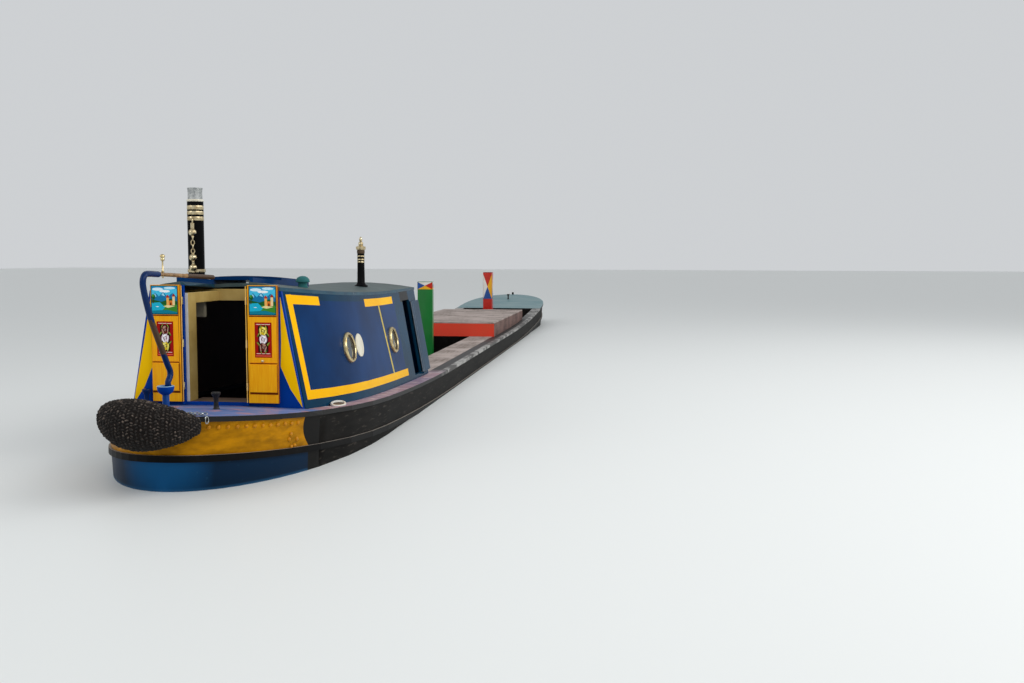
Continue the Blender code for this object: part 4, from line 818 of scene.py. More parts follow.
def blob(across, up, wide, tall, count=10, lean=0.0):
    """An oval outline."""
    points = []
    for k in range(count):
        a = math.tau * k / count
        x, z = wide * math.cos(a), tall * math.sin(a)
        points.append((across + x * math.cos(lean) - z * math.sin(lean),
                       up + x * math.sin(lean) + z * math.cos(lean)))
    return points


def landscape():
    """Outlines of a generic castle by a lake, each with its colour, over a unit square."""
    strokes = [([(0, 0), (1, 0), (1, 1), (0, 1)], "#12384a"),
               ([(0.03, 0.03), (0.97, 0.03), (0.97, 0.97), (0.03, 0.97)], "#49c3e6"),
               ([(0.03, 0.86), (0.97, 0.89), (0.97, 0.97), (0.03, 0.97)], "#1f8fc0"),
               (blob(0.26, 0.87, 0.21, 0.055), "#dff4fb"), (blob(0.70, 0.91, 0.22, 0.045), "#c9ecf8"),
               (blob(0.52, 0.80, 0.20, 0.045), "#ffffff"),
               ([(0.03, 0.56), (0.16, 0.76), (0.30, 0.62), (0.46, 0.78), (0.62, 0.60), (0.80, 0.74),
                 (0.97, 0.60), (0.97, 0.4), (0.03, 0.4)], "#1878a8"),
               ([(0.05, 0.57), (0.16, 0.73), (0.21, 0.62)], "#9fdcf0"),
               ([(0.39, 0.67), (0.46, 0.75), (0.53, 0.63)], "#9fdcf0"),
               ([(0.03, 0.30), (0.97, 0.30), (0.97, 0.46), (0.74, 0.55), (0.40, 0.44), (0.03, 0.52)],
                "#1d5f2a"),
               ([(0.03, 0.03), (0.97, 0.03), (0.97, 0.34), (0.03, 0.34)], "#3f8a2c"),
               ([(0.03, 0.10), (0.03, 0.40), (0.34, 0.42), (0.52, 0.24), (0.36, 0.10)], "#1fb3d0"),
               ([(0.03, 0.03), (0.03, 0.13), (0.60, 0.16), (0.97, 0.08), (0.97, 0.03)], "#0f7f94"),
               ([(0.58, 0.32), (0.58, 0.58), (0.67, 0.58), (0.67, 0.32)], "#f0b35a"),
               ([(0.67, 0.32), (0.67, 0.48), (0.83, 0.48), (0.83, 0.32)], "#e0762a"),
               ([(0.80, 0.32), (0.80, 0.62), (0.89, 0.62), (0.89, 0.32)], "#f6d79a"),
               ([(0.55, 0.58), (0.62, 0.69), (0.70, 0.58)], "#b8301c"),
               ([(0.77, 0.62), (0.85, 0.73), (0.92, 0.62)], "#9c2818"),
               ([(0.71, 0.32), (0.71, 0.41), (0.76, 0.41), (0.76, 0.32)], "#4a2010"),
               ([(0.46, 0.28), (0.60, 0.33), (0.90, 0.29), (0.64, 0.23)], "#f2dc9c"),
               ([(0.07, 0.38), (0.10, 0.38), (0.10, 0.58), (0.07, 0.58)], "#4a2d18"),
               (blob(0.10, 0.60, 0.07, 0.09), "#155a26"), (blob(0.08, 0.65, 0.04, 0.05), "#4a9a35"),
               (blob(0.24, 0.27, 0.06, 0.012), "#ffffff")]
    return strokes


def roses(order):
    """Outlines of three traditional roses with leaves on red, over a unit square, top rose first."""
    strokes = [([(0, 0), (1, 0), (1, 1), (0, 1)], "#a30f0c"),
               ([(0.10, 0.935), (0.90, 0.935), (0.90, 0.952), (0.10, 0.952)], "#f0d9c8"),
               ([(0.10, 0.105), (0.90, 0.105), (0.90, 0.122), (0.10, 0.122)], "#f0d9c8"),
               ([(0.06, 0.035), (0.94, 0.035), (0.94, 0.062), (0.06, 0.062)], "#e8644a"),
               ([(0.20, 0.15), (0.80, 0.15), (0.80, 0.905), (0.20, 0.905)], "#2c0706")]
    for across, up, lean in ((0.24, 0.66, 0.6), (0.76, 0.66, -0.6), (0.22, 0.38, -0.5), (0.78, 0.38, 0.5),
                             (0.32, 0.85, 0.9), (0.68, 0.85, -0.9), (0.34, 0.19, -0.9), (0.66, 0.19, 0.9)):
        strokes.append((blob(across, up, 0.13, 0.035, 8, lean), "#4f6a1c"))
        strokes.append((blob(across, up + 0.008, 0.09, 0.008, 6, lean), "#c9cf5c"))
    tones = {"yellow": ("#7d6a0c", "#dcbb22", "#fff07a"), "white": ("#8a5c6c", "#e9d6dc", "#ffffff"),
             "red": ("#1c0504", "#5f140e", "#b98a78")}
    for up, name in zip((0.76, 0.52, 0.29), order):
        dark, mid, pale = tones[name]
        strokes.append((blob(0.5, up, 0.26, 0.115, 14), dark))
        for k in range(6):
            a = math.tau * k / 6 + 0.3
            strokes.append((blob(0.5 + 0.17 * math.cos(a), up + 0.075 * math.sin(a), 0.11, 0.038, 8,
                                 a + 1.57), pale if k % 2 else mid))
        strokes.append((blob(0.5, up, 0.10, 0.046, 10), dark))
        for k in range(3):
            a = math.tau * k / 3
            strokes.append((blob(0.5 + 0.045 * math.cos(a), up + 0.02 * math.sin(a), 0.045, 0.018, 7,
                                 a + 1.2), pale))
    return strokes


def paint_picture(shape, strokes, area, flip, sign, face_x):
    """Lay the strokes on a panel, each a hair thicker than the last, as enamel builds up."""
    paint = shape.loops.layers.float_color.get("paint") or shape.loops.layers.float_color.new("paint")
    near, far, foot, head = area
    for number, (outline, code) in enumerate(strokes):
        points = []
        for across, up in outline:
            across = 1 - across if flip else across
            points.append(shape.verts.new((face_x - 0.0004 - 0.00003 * number,
                                           sign * (near + (far - near) * across),
                                           foot + (head - foot) * up)))
        face = shape.faces.new(points)
        face.normal_update()
        if face.normal.x > 0:
            face.normal_flip()
        for corner in face.loops:
            corner[paint] = linear(code)


def raised_panel(shape, low, high, depth, fall):
    """A fielded panel whose four edges slope back to the leaf."""
    corners = bmesh.ops.create_cube(shape, size=1.0)["verts"]
    for vert in corners:
        proud = vert.co.x < 0
        vert.co = Vector((low[0] - depth if proud else low[0],
                          (high if vert.co.y > 0 else low)[1] + (-fall if vert.co.y > 0 else fall) * proud,
                          (high if vert.co.z > 0 else low)[2] + (-fall if vert.co.z > 0 else fall) * proud))


for word, sign in (("port", 1), ("starboard", -1)):
    leaf = bmesh.new()
    ends = sorted((sign * LEAF["inner"], sign * LEAF["outer"]))
    board(leaf, (LEAF["face"], ends[0], LEAF["foot"]), (LEAF["back"], ends[1], LEAF["head"]), 0.003)
    for near, far, foot, head, depth, fall in ((0.298, 0.534, 2.182, 2.425, 0.005, 0.001),
                                               (0.300, 0.532, 1.800, 2.172, 0.004, 0.002),
                                               (0.299, 0.534, 1.556, 1.787, 0.014, 0.004)):
        across = sorted((sign * near, sign * far))
        raised_panel(leaf, (LEAF["face"], across[0], foot), (LEAF["face"], across[1], head), depth, fall)
    # Painted shadow and highlight: dark strips in the gaps between the panels and under the lowest one, and a
    # pale strip down the hinge side
    rails = ((0.299, 0.534, 1.540, 1.555, 3), (0.299, 0.534, 1.789, 1.797, 3), (0.270, 0.276, 1.47, 2.42, 4),
             (0.299, 0.534, 2.172, 2.180, 3))
    for near, far, foot, head, number in rails:
        across = sorted((sign * near, sign * far))
        raised_panel(leaf, (LEAF["face"], across[0], foot), (LEAF["face"], across[1], head), 0.0015, 0.0)
    for face in leaf.faces:
        spot, facing = face.calc_center_median(), face.normal
        stile = not 0.2965 < abs(spot.y) < 0.5275
        face.material_index = int(stile or abs(facing.y) > 0.7)
        if spot.x > LEAF["back"] - 0.002:
            face.material_index = 2
        for near, far, foot, head, number in rails:
            if near <= abs(spot.y) <= far and foot <= spot.z <= head and spot.x < LEAF["face"] - 0.0002:
                if face.calc_area() < 0.007:
                    face.material_index = number
    for place in (1.60, 1.95, 2.30):
        knuckle = Matrix.Translation((-9.545, sign * 0.272, place))
        made = bmesh.ops.create_cone(leaf, cap_ends=True, segments=16, radius1=0.0095, radius2=0.0095,
                                     depth=0.06, matrix=knuckle)["verts"]
        for face in {face for vert in made for face in vert.link_faces}:
            face.material_index = 5
    fit("door_leaf_" + word, leaf, [door_scumble, edge_scumble, wall_blue, painted_shadow_line, painted_highlight_line, brass],
        "door_" + word, ["door_" + word])
    picture = bmesh.new()
    paint_picture(picture, landscape(), SCENE_AREA, word == "port", sign, LEAF["face"] - 0.005)
    order = ("red", "white", "yellow") if word == "port" else ("yellow", "white", "red")
    paint_picture(picture, roses(order), ROSE_AREA, False, sign, LEAF["face"] - 0.004)
    fit("door_painting_" + word, picture, [artist_enamel], "door_" + word, turn_out=False)
    if word == "starboard":
        at = Matrix.Translation((-9.557, sign * 0.409, 1.814)) @ Matrix.Rotation(-math.pi / 2, 4, "Y")
        knob = turned([(0.0, 0.016), (0.007, 0.014), (0.010, 0.008), (0.005, 0.004), (0.012, 0.002),
                       (0.012, 0.0), (0.0, 0.0)], at, 20)
        fit("door_knob", knob, [brass], "door_" + word, smooth=50)

# Inside the doorway: a cream painted cupboard side just behind the port door post, a step of bare
# boards, the cream beam under the roof at the hatch's fore end, and a small grey wall cupboard.

buff_paint = worn_paint("cream buff paint", "#c9ad69", "#b1924f", "#7d6238", 0.2, 0.3, 0.4)
inside = bmesh.new()
board(inside, (-9.487, 0.249, 1.40), (-9.330, 0.272, 2.36), 0.002)
board(inside, (-8.858, -0.62, 2.272), (-8.830, 0.62, 2.374), 0.002)
board(inside, (-9.330, 0.249, 2.272), (-8.858, 0.272, 2.360), 0.002)
fit("buff_cabin_joinery", inside, [buff_paint], "hull")
post_edge = bmesh.new()
board(post_edge, (-9.4888, 0.247, 1.40), (-9.4872, 0.2725, 2.36), 0.0)
fit("white_post_edge", post_edge, [white_paint], "hull")
grey_paint = worn_paint("grey cupboard paint", "#8d8674", "#7b7462", "#5d5546", 0.1, 0.2, 0.4)
cupboard = bmesh.new()
board(cupboard, (-9.030, 0.310, 2.133), (-8.990, 0.400, 2.270), 0.003)
board(cupboard, (-9.033, 0.318, 2.142), (-9.030, 0.392, 2.262), 0.001)
fit("grey_wall_cupboard", cupboard, [grey_paint], "hull")
step = bmesh.new()
low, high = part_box("cabin_step")
board(step, low, (high.x, high.y, high.z - 0.022), 0.004)
for row in range(2):
    width = (high.x - low.x) / 2
    board(step, (low.x + width * row + 0.001, low.y - 0.004, high.z - 0.022),
          (low.x + width * (row + 1) - 0.001, high.y + 0.004, high.z), 0.003)
step_wood = bare_wood("worn step", "#5f4a3b", "#6f5949", "#3a2b22", along=(0, 1, 0))
fit("cabin_step_boards", step, [step_wood], "hull", ["cabin_step"])

# The chimney: a cabin stove's steel tube in black enamel, with brass bands, a cream line and a steel
# liner at its head. A brass chain with three knobs hangs down its aft side. The exhaust stack is slimmer,
# with brass bands and a brown one under a turned brass finial.

stove_black = coach_enamel("black stove enamel", "#0b0b0c", "#131314", 0.22)
old_brass = metal("rubbed old brass", "#d9cba6", "#a8916a", 0.2, 0.03)
steel = metal("brushed steel collar", "#c9cbc8", "#8b8f90", 0.24, 0.02)
dull_brown = worn_paint("burnt brown cap", "#5a4632", "#453424", "#8a7450", 0.05, 0.4, 0.45)


def banded(base, radius, bands, head, place, name, slot, finishes, node):
    """A turned tube with proud bands (foot, head, how proud, finish) and a turned head."""
    rows = list(base)
    for low_z, high_z, proud, number in bands:
        rows += [(radius, low_z - 0.001), (radius + proud, low_z + 0.002), (radius + proud + 0.001,
                 (low_z + high_z) / 2), (radius + proud, high_z - 0.002), (radius, high_z + 0.001)]
    rows += list(head)
    shape = turned(rows, Matrix.Translation((place.x, place.y, 0)), 48)
    for face in shape.faces:
        middle = face.calc_center_median()
        away = math.hypot(middle.x - place.x, middle.y - place.y)
        for low_z, high_z, proud, number in bands:
            if low_z - 0.002 < middle.z < high_z + 0.002 and away > radius - 0.003:
                face.material_index = number
    return fit(name, shape, finishes, "hull", [node], smooth=38)


low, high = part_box("chimney")
centre = (low + high) / 2
foot = low.z + 0.004
chimney_bands = [(2.520, 2.548, 0.006, 1), (2.975, 3.006, 0.001, 1), (3.026, 3.054, 0.001, 1),
                 (3.070, 3.102, 0.001, 1), (3.139, 3.156, 0.003, 2)]
banded([(0.088, foot - 0.01), (0.088, foot + 0.045), (0.076, foot + 0.055), (0.070, foot + 0.075)], 0.070,
       chimney_bands, [(0.0665, 3.158)], centre, "chimney_tube", "hull_black",
       [stove_black, old_brass, cream_paint], "chimney")
collar = turned([(0.0630, 3.156), (0.0615, 3.200), (0.0625, 3.240), (0.0650, 3.252), (0.0650, 3.258),
                 (0.0610, 3.258), (0.0590, 3.240), (0.0585, 3.150), (0.0, 3.150)],
                Matrix.Translation((centre.x, centre.y, 0)), 48)
fit("chimney_liner", collar, [steel], "hull", smooth=38)
CHAIN_SIDE = Vector((-0.990, -0.144, 0.0))
chain = bmesh.new()
hang = centre + CHAIN_SIDE * 0.100
for height, radius in ((2.869, 0.034), (2.650, 0.033), (2.562, 0.032)):
    squat = Matrix.Translation((hang.x, hang.y, height)) @ Matrix.Diagonal((1, 1, 0.92, 1))
    bmesh.ops.create_uvsphere(chain, u_segments=20, v_segments=12, radius=radius, matrix=squat)
    for side_z in (-1, 1):
        bmesh.ops.create_cone(chain, cap_ends=True, segments=14, radius1=0.011, radius2=0.011, depth=0.02,
                              matrix=Matrix.Translation((hang.x, hang.y, height + side_z * radius)))


def link(shape, place, turn, length=0.024, width=0.013, wire=0.0028, segments=12):
    """One oval chain link, standing on end."""
    made = []
    for k in range(segments):
        a = math.tau * k / segments
        middle = Vector((width / 2 * math.cos(a), 0, length / 2 * math.sin(a)))
        ahead = Vector((-width * math.sin(a), 0, length * math.cos(a))).normalized()
        at = Matrix.Translation(place) @ turn @ Matrix.Translation(middle) @ aimed(ahead)
        made.append(bmesh.ops.create_circle(shape, segments=6, radius=wire, matrix=at)["verts"])
    for first, second in zip(made, made[1:] + made[:1]):
        rims = [e for ring in (first, second) for v in ring for e in v.link_edges
                if e.verts[0] in ring and e.verts[1] in ring]
        bmesh.ops.bridge_loops(shape, edges=list(set(rims)))


bmesh.ops.create_cone(chain, cap_ends=True, segments=16, radius1=0.016, radius2=0.016, depth=0.05,
                      matrix=Matrix.Translation((hang.x, hang.y, 2.925)))
for top_z, bottom_z in ((2.985, 2.945), (2.835, 2.685)):
    count = max(1, round((top_z - bottom_z) / 0.034))
    for k in range(count):
        z = top_z + (bottom_z - top_z) * (k + 0.5) / count
        link(chain, (hang.x, hang.y, z), Matrix.Rotation(math.pi / 2 * (k % 2) + 0.5, 4, "Z"), 0.045, 0.028,
             0.005)
for height in (2.972, 2.534):
    bmesh.ops.create_cone(chain, cap_ends=True, segments=12, radius1=0.006, radius2=0.006, depth=0.045,
                          matrix=Matrix.Translation(Vector((centre.x, centre.y, height)) + CHAIN_SIDE * 0.088)
                          @ aimed(CHAIN_SIDE))
fit("chimney_chain", chain, [old_brass], "hull", smooth=50)

low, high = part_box("exhaust_stack")
centre = (low + high) / 2
bands = [(2.600, 2.612, 0.001, 1), (2.626, 2.640, 0.001, 1), (2.664, 2.676, 0.001, 1),
         (2.700, 2.738, 0.003, 2), (2.742, 2.778, 0.014, 1)]
finial = [(0.024, 2.790), (0.028, 2.806), (0.024, 2.822), (0.012, 2.832), (0.017, 2.848), (0.017, 2.862),
          (0.007, 2.880), (0.0, 2.886)]
stack = banded([(0.072, low.z - 0.01), (0.072, low.z + 0.018), (0.052, low.z + 0.03), (0.042, low.z + 0.05)],
               0.039, bands, finial, centre, "exhaust_stack_tube", "hull_black",
               [stove_black, old_brass, dull_brown], "exhaust_stack")
for face in stack.data.polygons:
    if face.center.z > 2.784:
        face.material_index = 1

# The mushroom vent: a spun brass dome on a threaded neck, whose flange stands on the roof. It is
# painted teal all over.

low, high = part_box("mushroom_vent")
centre = (low + high) / 2
teal = coach_enamel("teal enamel", "#37706f", "#2b5e60", 0.3)
vent = turned([(0.0, high.z), (0.022, high.z - 0.002), (0.045, high.z - 0.014), (0.058, high.z - 0.032),
               (0.062, high.z - 0.050), (0.060, high.z - 0.055), (0.050, high.z - 0.052),
               (0.040, high.z - 0.060), (0.040, low.z + 0.012), (0.048, low.z + 0.008),
               (0.048, low.z - 0.006)],
              Matrix.Translation((centre.x, centre.y, 0)), 40)
fit("mushroom_vent_dome", vent, [teal], "hull", ["mushroom_vent"], smooth=50)

# The steering: a forged rams head on the rudder stock, the swan neck of steel tube with a served grip
# in its middle, and a turned ash tiller bar that slips out of it when the pin is drawn.


def pipe(route, radii, sides=16):
    """A tube along a route, its radius given at each point, closed at both ends."""
    shape = bmesh.new()
    rings = []
    for i, (point, radius) in enumerate(zip(route, radii)):
        ahead = route[min(len(route) - 1, i + 1)] - route[max(0, i - 1)]
        at = Matrix.Translation(point) @ aimed(ahead)
        rings.append(bmesh.ops.create_circle(shape, segments=sides, radius=radius, matrix=at)["verts"])
    loops = [[e for v in ring for e in v.link_edges] for ring in rings]
    for first, second in zip(loops, loops[1:]):
        bmesh.ops.bridge_loops(shape, edges=list(set(first + second)))
    for ring in (rings[0], rings[-1]):
        shape.faces.new(ring)
    return shape


def smooth_route(route, steps):
    """Points on a smooth curve through the route's own points."""
    points = [Vector(p) for p in route]
    drawn = []
    for i in range(len(points) - 1):
        before, a, b = points[max(0, i - 1)], points[i], points[i + 1]
        after = points[min(len(points) - 1, i + 2)]
        for k in range(steps):
            t = k / steps
            drawn.append(0.5 * (2 * a + (b - before) * t + (2 * before - 5 * a + 4 * b - after) * t * t
                                + (3 * a - before - 3 * b + after) * t ** 3))
    return drawn + [points[-1]]


NECK = ((0.040, 0.806), (0.040, 0.832), (0.046, 0.845), (0.062, 0.860), (0.077, 0.880), (0.080, 0.902),
        (0.070, 0.928), (0.038, 0.967), (-0.011, 1.039), (-0.106, 1.175), (-0.197, 1.318), (-0.255, 1.437),
        (-0.295, 1.545), (-0.292, 1.600), (-0.260, 1.630), (-0.205, 1.6346), (-0.120, 1.6311),
        (-0.068, 1.629))
STOCK_X = -10.42
GRIP = (1.045, 1.300)
route = smooth_route([(STOCK_X + x, 0.0, WATER + z) for x, z in NECK], 6)
served = [GRIP[0] < p.z - WATER < GRIP[1] for p in route]
neck = pipe(route, [0.0215 if grip else 0.022 for grip in served])
for face in neck.faces:
    face.material_index = int(GRIP[0] < face.calc_center_median().z - WATER < GRIP[1])
neck_blue = coach_enamel("blue tube enamel", "#072c63", "#06224c", 0.2)
neck_blue.node_tree.nodes["Principled BSDF"].inputs["Specular IOR Level"].default_value = 0.14
# Tarred twine wound round the tube, its turns about 5 mm apart
serving, shader = start_finish("tarred serving", 0.55)
turns = add(serving, "TexWave", {"bands_direction": "Z"},
            {"Vector": add(serving, "TexCoord").outputs["Object"], "Scale": 60.0, "Distortion": 1.5})
wound = add(serving, "Mix", {"data_type": "RGBA"},
            {0: turns.outputs[1], 6: linear("#150d08"), 7: linear("#5a3c1e")})
serving.node_tree.links.new(wound.outputs[2], shader.inputs["Base Color"])
fit("swan_neck_tube", neck, [neck_blue, serving], "rudder", ["swan_neck"], smooth=50)
low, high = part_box("rams_head")
cup = turned([(0.028, low.z - 0.002), (0.040, low.z + 0.006), (0.052, low.z + 0.018), (0.059, low.z + 0.034),
              (0.061, low.z + 0.048), (0.061, high.z - 0.004), (0.058, high.z), (0.050, high.z),
              (0.046, high.z - 0.008), (0.040, high.z - 0.012), (0.0, high.z - 0.012)],
             Matrix.Translation((STOCK_X, 0, 0)), 36)
rim_highlight = worn_paint("painted highlight on the cup's rim", "#8fb8d2", "#6f9fc4", "#3a6c9c", 0.03, 0.4, 0.3)
# Painted highlight: the cup's top rim is pale blue
for face in cup.faces:
    face.material_index = int(face.calc_center_median().z > high.z - 0.006)
fit("rams_head_cup", cup, [wall_blue, rim_highlight], "rudder", ["rams_head"], smooth=45)

ash = scumble_finish("varnished ash", "#b89468", "#6b4c30", 0.22)
BAR = (Vector((-10.4875, 0, 2.529)), Vector((-9.54, 0, 2.49)))
# Distance along the bar, radius and finish
rows = ((0.0, 0.0165, 0), (0.016, 0.0165, 0), (0.018, 0.0145, 1), (0.44, 0.0150, 1), (0.45, 0.0175, 2),
        (0.86, 0.0190, 2), (0.93, 0.0180, 2), (0.932, 0.0185, 0), (0.944, 0.0150, 0), (0.948, 0.008, 0))
along = (BAR[1] - BAR[0]).normalized()
bar = pipe([BAR[0] + along * r[0] for r in rows], [r[1] for r in rows], 20)
for face in bar.faces:
    reach = (face.calc_center_median() - BAR[0]).dot(along)
    face.material_index = [r[2] for r in rows if r[0] <= reach + 1e-4][-1]
fit("tiller", bar, [brass, ash, serving], "rudder", ["tiller_bar"], smooth=50)
pin_foot = 2.540
pin = turned([(0.0055, pin_foot - 0.04), (0.0055, pin_foot), (0.011, pin_foot + 0.002),
              (0.012, pin_foot + 0.008), (0.006, pin_foot + 0.014),
              (0.0055, pin_foot + 0.082), (0.013, pin_foot + 0.088),
              (0.016, pin_foot + 0.096), (0.012, pin_foot + 0.104), (0.011, pin_foot + 0.106),
              (0.018, pin_foot + 0.114), (0.0185, pin_foot + 0.120), (0.014, pin_foot + 0.128),
              (0.006, pin_foot + 0.133), (0.0, pin_foot + 0.134)], Matrix.Translation((-10.417, 0, 0)), 24)
fit("tiller_pin", pin, [brass], "rudder", smooth=45)
stock_blue, shader, colour = paint_parts("blue stock over blacking", "#11468f", "#0c356f", "#3f5f8a", 0.1,
                                         0.2, 0.35)
high_up = add(stock_blue, "SeparateXYZ", {}, {0: add(stock_blue, "TexCoord").outputs["Object"]})
dry = add(stock_blue, "Math", {"operation": "GREATER_THAN"}, {0: high_up.outputs["Z"], 1: 1.42})
parted = add(stock_blue, "Mix", {"data_type": "RGBA"}, {0: dry.outputs[0], 6: linear("#1f1c1a"), 7: colour})
stock_blue.node_tree.links.new(parted.outputs[2], shader.inputs["Base Color"])
dress(stock_blue, "rudder")

# The drive: a cast bronze three-bladed propeller with its shaft, and the diesel in its room ahead of the
# cabin.

bronze = metal("cast bronze", "#a8824a", "#6f5a34", 0.38)
plated("propeller", bronze, 60, "propeller")
engine_green = worn_paint("engine green", "#2c5a41", "#244b36", "#4a4a40", 0.1, 0.35, 0.45)
dress(engine_green, "engine")

# The mooring dollies and the bow stud: turned steel pins on the deck. They are black with bright rubbed
# spots, and the port dolly is blue.

post_black = worn_paint("rubbed black posts", "#131314", "#1c1c1d", "#8a8a88", 0.03, 0.45, 0.45)
for node in ("dolly_starboard", "dolly_port", "bow_stud"):
    low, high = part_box(node)
    centre = (low + high) / 2
    tall = high.z - low.z
    post = turned([(0.0, low.z - 0.002), (0.027, low.z - 0.002), (0.026, low.z + 0.008),
                   (0.020, low.z + 0.018), (0.0180, low.z + 0.35 * tall), (0.0190, low.z + 0.6 * tall),
                   (0.026, low.z + 0.76 * tall),
                   (0.036, low.z + 0.86 * tall), (0.0365, low.z + 0.95 * tall), (0.033, high.z - 0.001),
                   (0.026, high.z), (0.0, high.z)], Matrix.Translation((centre.x, centre.y, 0)), 32)
    paint = neck_blue if node == "dolly_port" else post_black
    fit(node + "_pin", post, [paint], "hull", [node], smooth=45)

# The fairleads: cast iron eyes that lie on the gunwales beside the cabin, painted white over a brown
# plate, and tilted a little outward.

FAIRLEAD = {"length": 0.225, "width": 0.095, "wire": 0.012, "tilt": 0.25, "x": -9.03}
for word, sign in (("port", 1), ("starboard", -1)):
    eye = bmesh.new()
    spot = Vector((FAIRLEAD["x"], sign * 0.876, deck_height(FAIRLEAD["x"]) + FAIRLEAD["wire"]))
    tilt = Matrix.Rotation(-sign * FAIRLEAD["tilt"], 4, "X")
    flat = (Matrix.Rotation(sign * 0.06, 4, "Z") @ tilt
            @ Matrix.Rotation(math.pi / 2, 4, "Y") @ Matrix.Rotation(math.pi / 2, 4, "Z"))
    link(eye, spot, flat, FAIRLEAD["length"], FAIRLEAD["width"], FAIRLEAD["wire"], 24)
    under = Matrix.Translation(spot - Vector((0, 0, 0.006)))
    oval = Matrix.Diagonal((FAIRLEAD["length"], FAIRLEAD["width"], 1, 1))
    inner = bmesh.ops.create_cone(eye, cap_ends=True, segments=24, radius1=0.5, radius2=0.5, depth=0.010,
                                  matrix=under @ tilt @ oval)["verts"]
    for face in {face for vert in inner for face in vert.link_faces}:
        face.material_index = 1
    fit("fairlead_" + word, eye, [white_paint, dull_brown], "hull", smooth=60)

# The fenders: old rope cores worked over with knotted coir, in rows of hitches about 24 mm wide. They
# take the knocks at the counter and at the stem, and chains hold the counter's one to the deck's edge.

# Coir fibres, drawn about 6 mm apart, coarser than real ones, with dust in patches on the upper sides.
# The undersides are darkened nearly to black as painted shade
rope_fibre, shader = start_finish("worn coir rope, painted dark underneath as shade", 0.95)
place = add(rope_fibre, "TexCoord").outputs["Object"]
fibre = add(rope_fibre, "TexNoise", {}, {"Vector": place, "Scale": 160.0, "Detail": 3.0})
soil = add(rope_fibre, "TexNoise", {}, {"Vector": place, "Scale": 30.0, "Detail": 2.0})
thread = add(rope_fibre, "Mix", {"data_type": "RGBA"},
             {0: fibre.outputs[0], 6: linear("#0a0706"), 7: linear("#2e2620")}).outputs[2]
dusty = add(rope_fibre, "MapRange", {}, {"Value": soil.outputs[0], "From Min": 0.50, "From Max": 0.72,
                                         "To Max": 0.8})
worn = add(rope_fibre, "Mix", {"data_type": "RGBA"}, {0: dusty.outputs[0], 6: thread, 7: linear("#7a6b60")})
upward = add(rope_fibre, "SeparateXYZ", {}, {0: add(rope_fibre, "NewGeometry").outputs["Normal"]})
sunlit = add(rope_fibre, "MapRange", {}, {"Value": upward.outputs["Z"], "From Min": -0.5, "From Max": 0.6})
painted_underside_shade = add(rope_fibre, "Mix", {"data_type": "RGBA"},
             {0: sunlit.outputs[0], 6: linear("#060504"), 7: worn.outputs[2]})
fuzz = add(rope_fibre, "Bump", {}, {"Strength": 0.6, "Distance": 0.003, "Height": fibre.outputs[0]})
rope_fibre.node_tree.links.new(painted_underside_shade.outputs[2], shader.inputs["Base Color"])
rope_fibre.node_tree.links.new(fuzz.outputs[0], shader.inputs["Normal"])
KNOT = 0.0235
# Painted shade: the core that shows between the hitches is near black, as the gaps fall in shade
gap_shade_core = worn_paint("rope core painted dark as shade between the hitches", "#0d0907", "#16100c", "#1f1712", 0.03, 0.2, 0.95)


def knotted(name, body_rings, node):
    """Cover a fender's shape, given as closed rings along it, with rows of hitches."""
    draw = random.Random(7)
    shape = bmesh.new()
    loops = []
    for ring in body_rings:
        corners = [shape.verts.new(p) for p in ring]
        loops.append([shape.edges.new((corners[i - 1], corners[i])) for i in range(len(corners))])
    for first, second in zip(loops, loops[1:]):
        bmesh.ops.bridge_loops(shape, edges=first + second)
    bmesh.ops.holes_fill(shape, edges=loops[0] + loops[-1], sides=0)
    strand = bmesh.new()
    bmesh.ops.create_uvsphere(strand, u_segments=6, v_segments=5, radius=1.0)
    knot = bpy.data.meshes.new("knot")
    for face in strand.faces:
        face.material_index = 1
    for number, (ring, following) in enumerate(zip(body_rings, body_rings[1:])):
        middle = sum(ring, Vector()) / len(ring)
        ahead = (sum(following, Vector()) / len(ring) - middle).normalized()
        around = sum((a - b).length for a, b in zip(ring, ring[1:] + ring[:1]))
        count = max(4, round(around / KNOT))
        for k in range(count):
            share = (k + 0.5 * (number % 2) + draw.uniform(-0.2, 0.2)) / count * len(ring)
            a, b = ring[int(share) % len(ring)], ring[(int(share) + 1) % len(ring)]
            spot = a.lerp(b, share - int(share)) + ahead * draw.uniform(-0.004, 0.004)
            out = (spot - middle).normalized()
            turn = Matrix((ahead, out.cross(ahead), out)).transposed().to_4x4()
            lean = Matrix.Rotation(0.75 * (1 if number % 2 else -1) + draw.uniform(-0.7, 0.7), 4, "Z")
            size = KNOT * draw.uniform(0.40, 0.62)
            placed = (Matrix.Translation(spot - out * draw.uniform(0.001, 0.004)) @ turn @ lean
                      @ Matrix.Diagonal((size * 1.2, size * 0.66, size * 0.8, 1)))
            strand.transform(placed)
            strand.to_mesh(knot)
            shape.from_mesh(knot)
            strand.transform(placed.inverted())
    strand.free()
    bpy.data.meshes.remove(knot)
    fit(name, shape, [gap_shade_core, rope_fibre], "hull", [node], smooth=80)


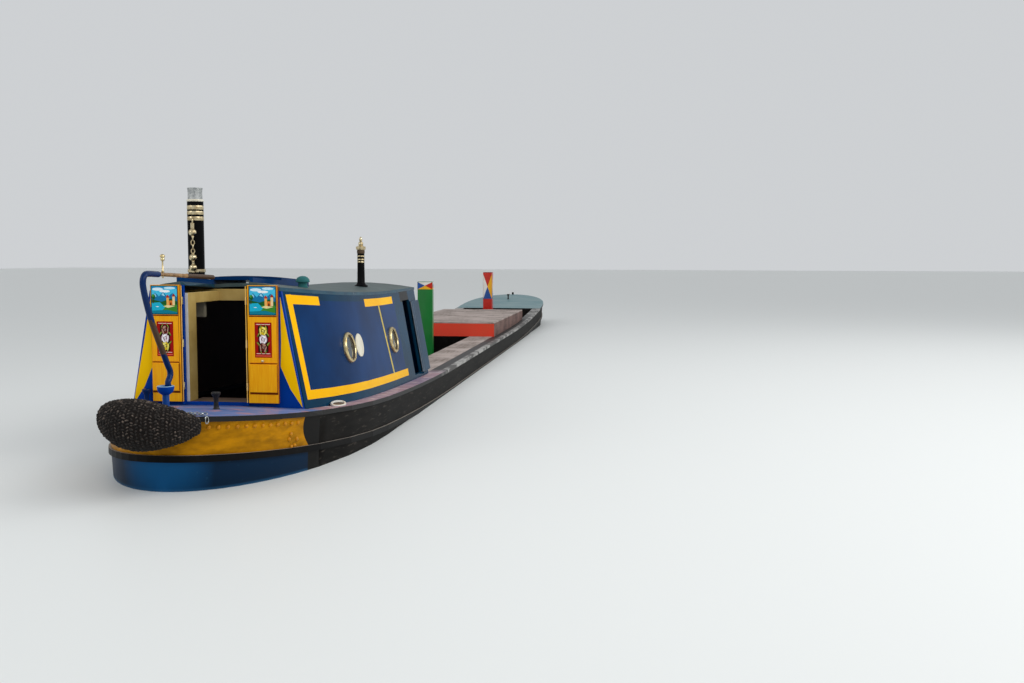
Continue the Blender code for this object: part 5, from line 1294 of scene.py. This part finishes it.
STERN_LINE = []
for k in range(61):
    a = math.asin(((STERN_START - AFT) / STERN_RUN) ** (STERN_POWER / 2))
    a += (math.pi / 2 - a) * k / 60
    STERN_LINE.append(stern_point(a))
FENDER = {"height": 0.595, "fat": 0.179, "tip": 0.050, "half": 0.320, "taper": 1.7, "tilt": 0.036}
plan = [p for p in STERN_LINE if p[1] < FENDER["half"]]
plan += [(x, -y) for x, y in reversed(plan[:-1])]
reach = [0.0]
for first, second in zip(plan, plan[1:]):
    reach.append(reach[-1] + math.dist(first, second))
rings = []
steps = round(reach[-1] / 0.0165)
for k in range(steps + 1):
    far = reach[-1] * k / steps
    i = max(j for j in range(len(reach)) if reach[j] <= far + 1e-9)
    i = min(i, len(plan) - 2)
    t = (far - reach[i]) / (reach[i + 1] - reach[i])
    first, second = Vector((*plan[i], 0)), Vector((*plan[i + 1], 0))
    spot = first.lerp(second, t)
    place = 1 - 2 * (i + t) / (len(plan) - 1)
    radius = FENDER["fat"] + (FENDER["tip"] - FENDER["fat"]) * abs(place) ** FENDER["taper"]
    before, after = Vector((*plan[max(0, i - 1)], 0)), Vector((*plan[min(len(plan) - 1, i + 2)], 0))
    ahead = (after - before).normalized()
    out = Vector((-abs(ahead.y), math.copysign(abs(ahead.x), spot.y) if abs(spot.y) > 1e-4 else 0, 0))
    height = WATER + FENDER["height"] + FENDER["tilt"] * place
    middle = Vector((spot.x, spot.y, height)) + out * (radius + 0.001)
    slim = radius - 0.003
    rings.append([middle + out * (slim * math.cos(a)) + Vector((0, 0, slim * math.sin(a)))
                  for a in [math.tau * j / 32 for j in range(32)]])
knotted("stern_fender_knots", rings, "stern_fender")
low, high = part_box("bow_fender")
centre = (low + high) / 2
PROFILE = ((0.0, 0.35), (0.02, 0.55), (0.20, 0.9), (0.5, 1.0), (0.8, 0.9), (0.97, 0.55), (1.0, 0.3))
rings = []
steps = round((high.z - low.z) / 0.0185)
for k in range(steps + 1):
    share = k / steps
    j = max(i for i in range(len(PROFILE) - 1) if PROFILE[i][0] <= share)
    (a, ra), (b, rb) = PROFILE[j], PROFILE[j + 1]
    radius = 0.134 * (ra + (rb - ra) * (share - a) / (b - a))
    height = low.z + (high.z - low.z) * share
    rings.append([Vector((centre.x + radius * math.cos(t), radius * math.sin(t), height))
                  for t in [math.tau * i / 24 for i in range(24)]])
knotted("bow_fender_knots", rings, "bow_fender")

chains = bmesh.new()
for sign in (-1, 1):
    lying = (Vector((-10.50, sign * 0.09, 1.528)), Vector((-10.50, sign * 0.345, 1.524)))
    for k in range(9):
        spot = lying[0].lerp(lying[1], (k + 0.5) / 9)
        turn = aimed(lying[1] - lying[0]) @ Matrix.Rotation(0.8 + math.pi / 2 * (k % 2), 4, "Z")
        link(chains, spot, turn, 0.038, 0.024, 0.0045)
    link(chains, (-10.560, sign * 0.372, 1.492), Matrix.Rotation(sign * 0.6, 4, "Z"),
         0.052, 0.026, 0.0048, 16)
fit("fender_chains", chains, [steel], "hull", smooth=60)
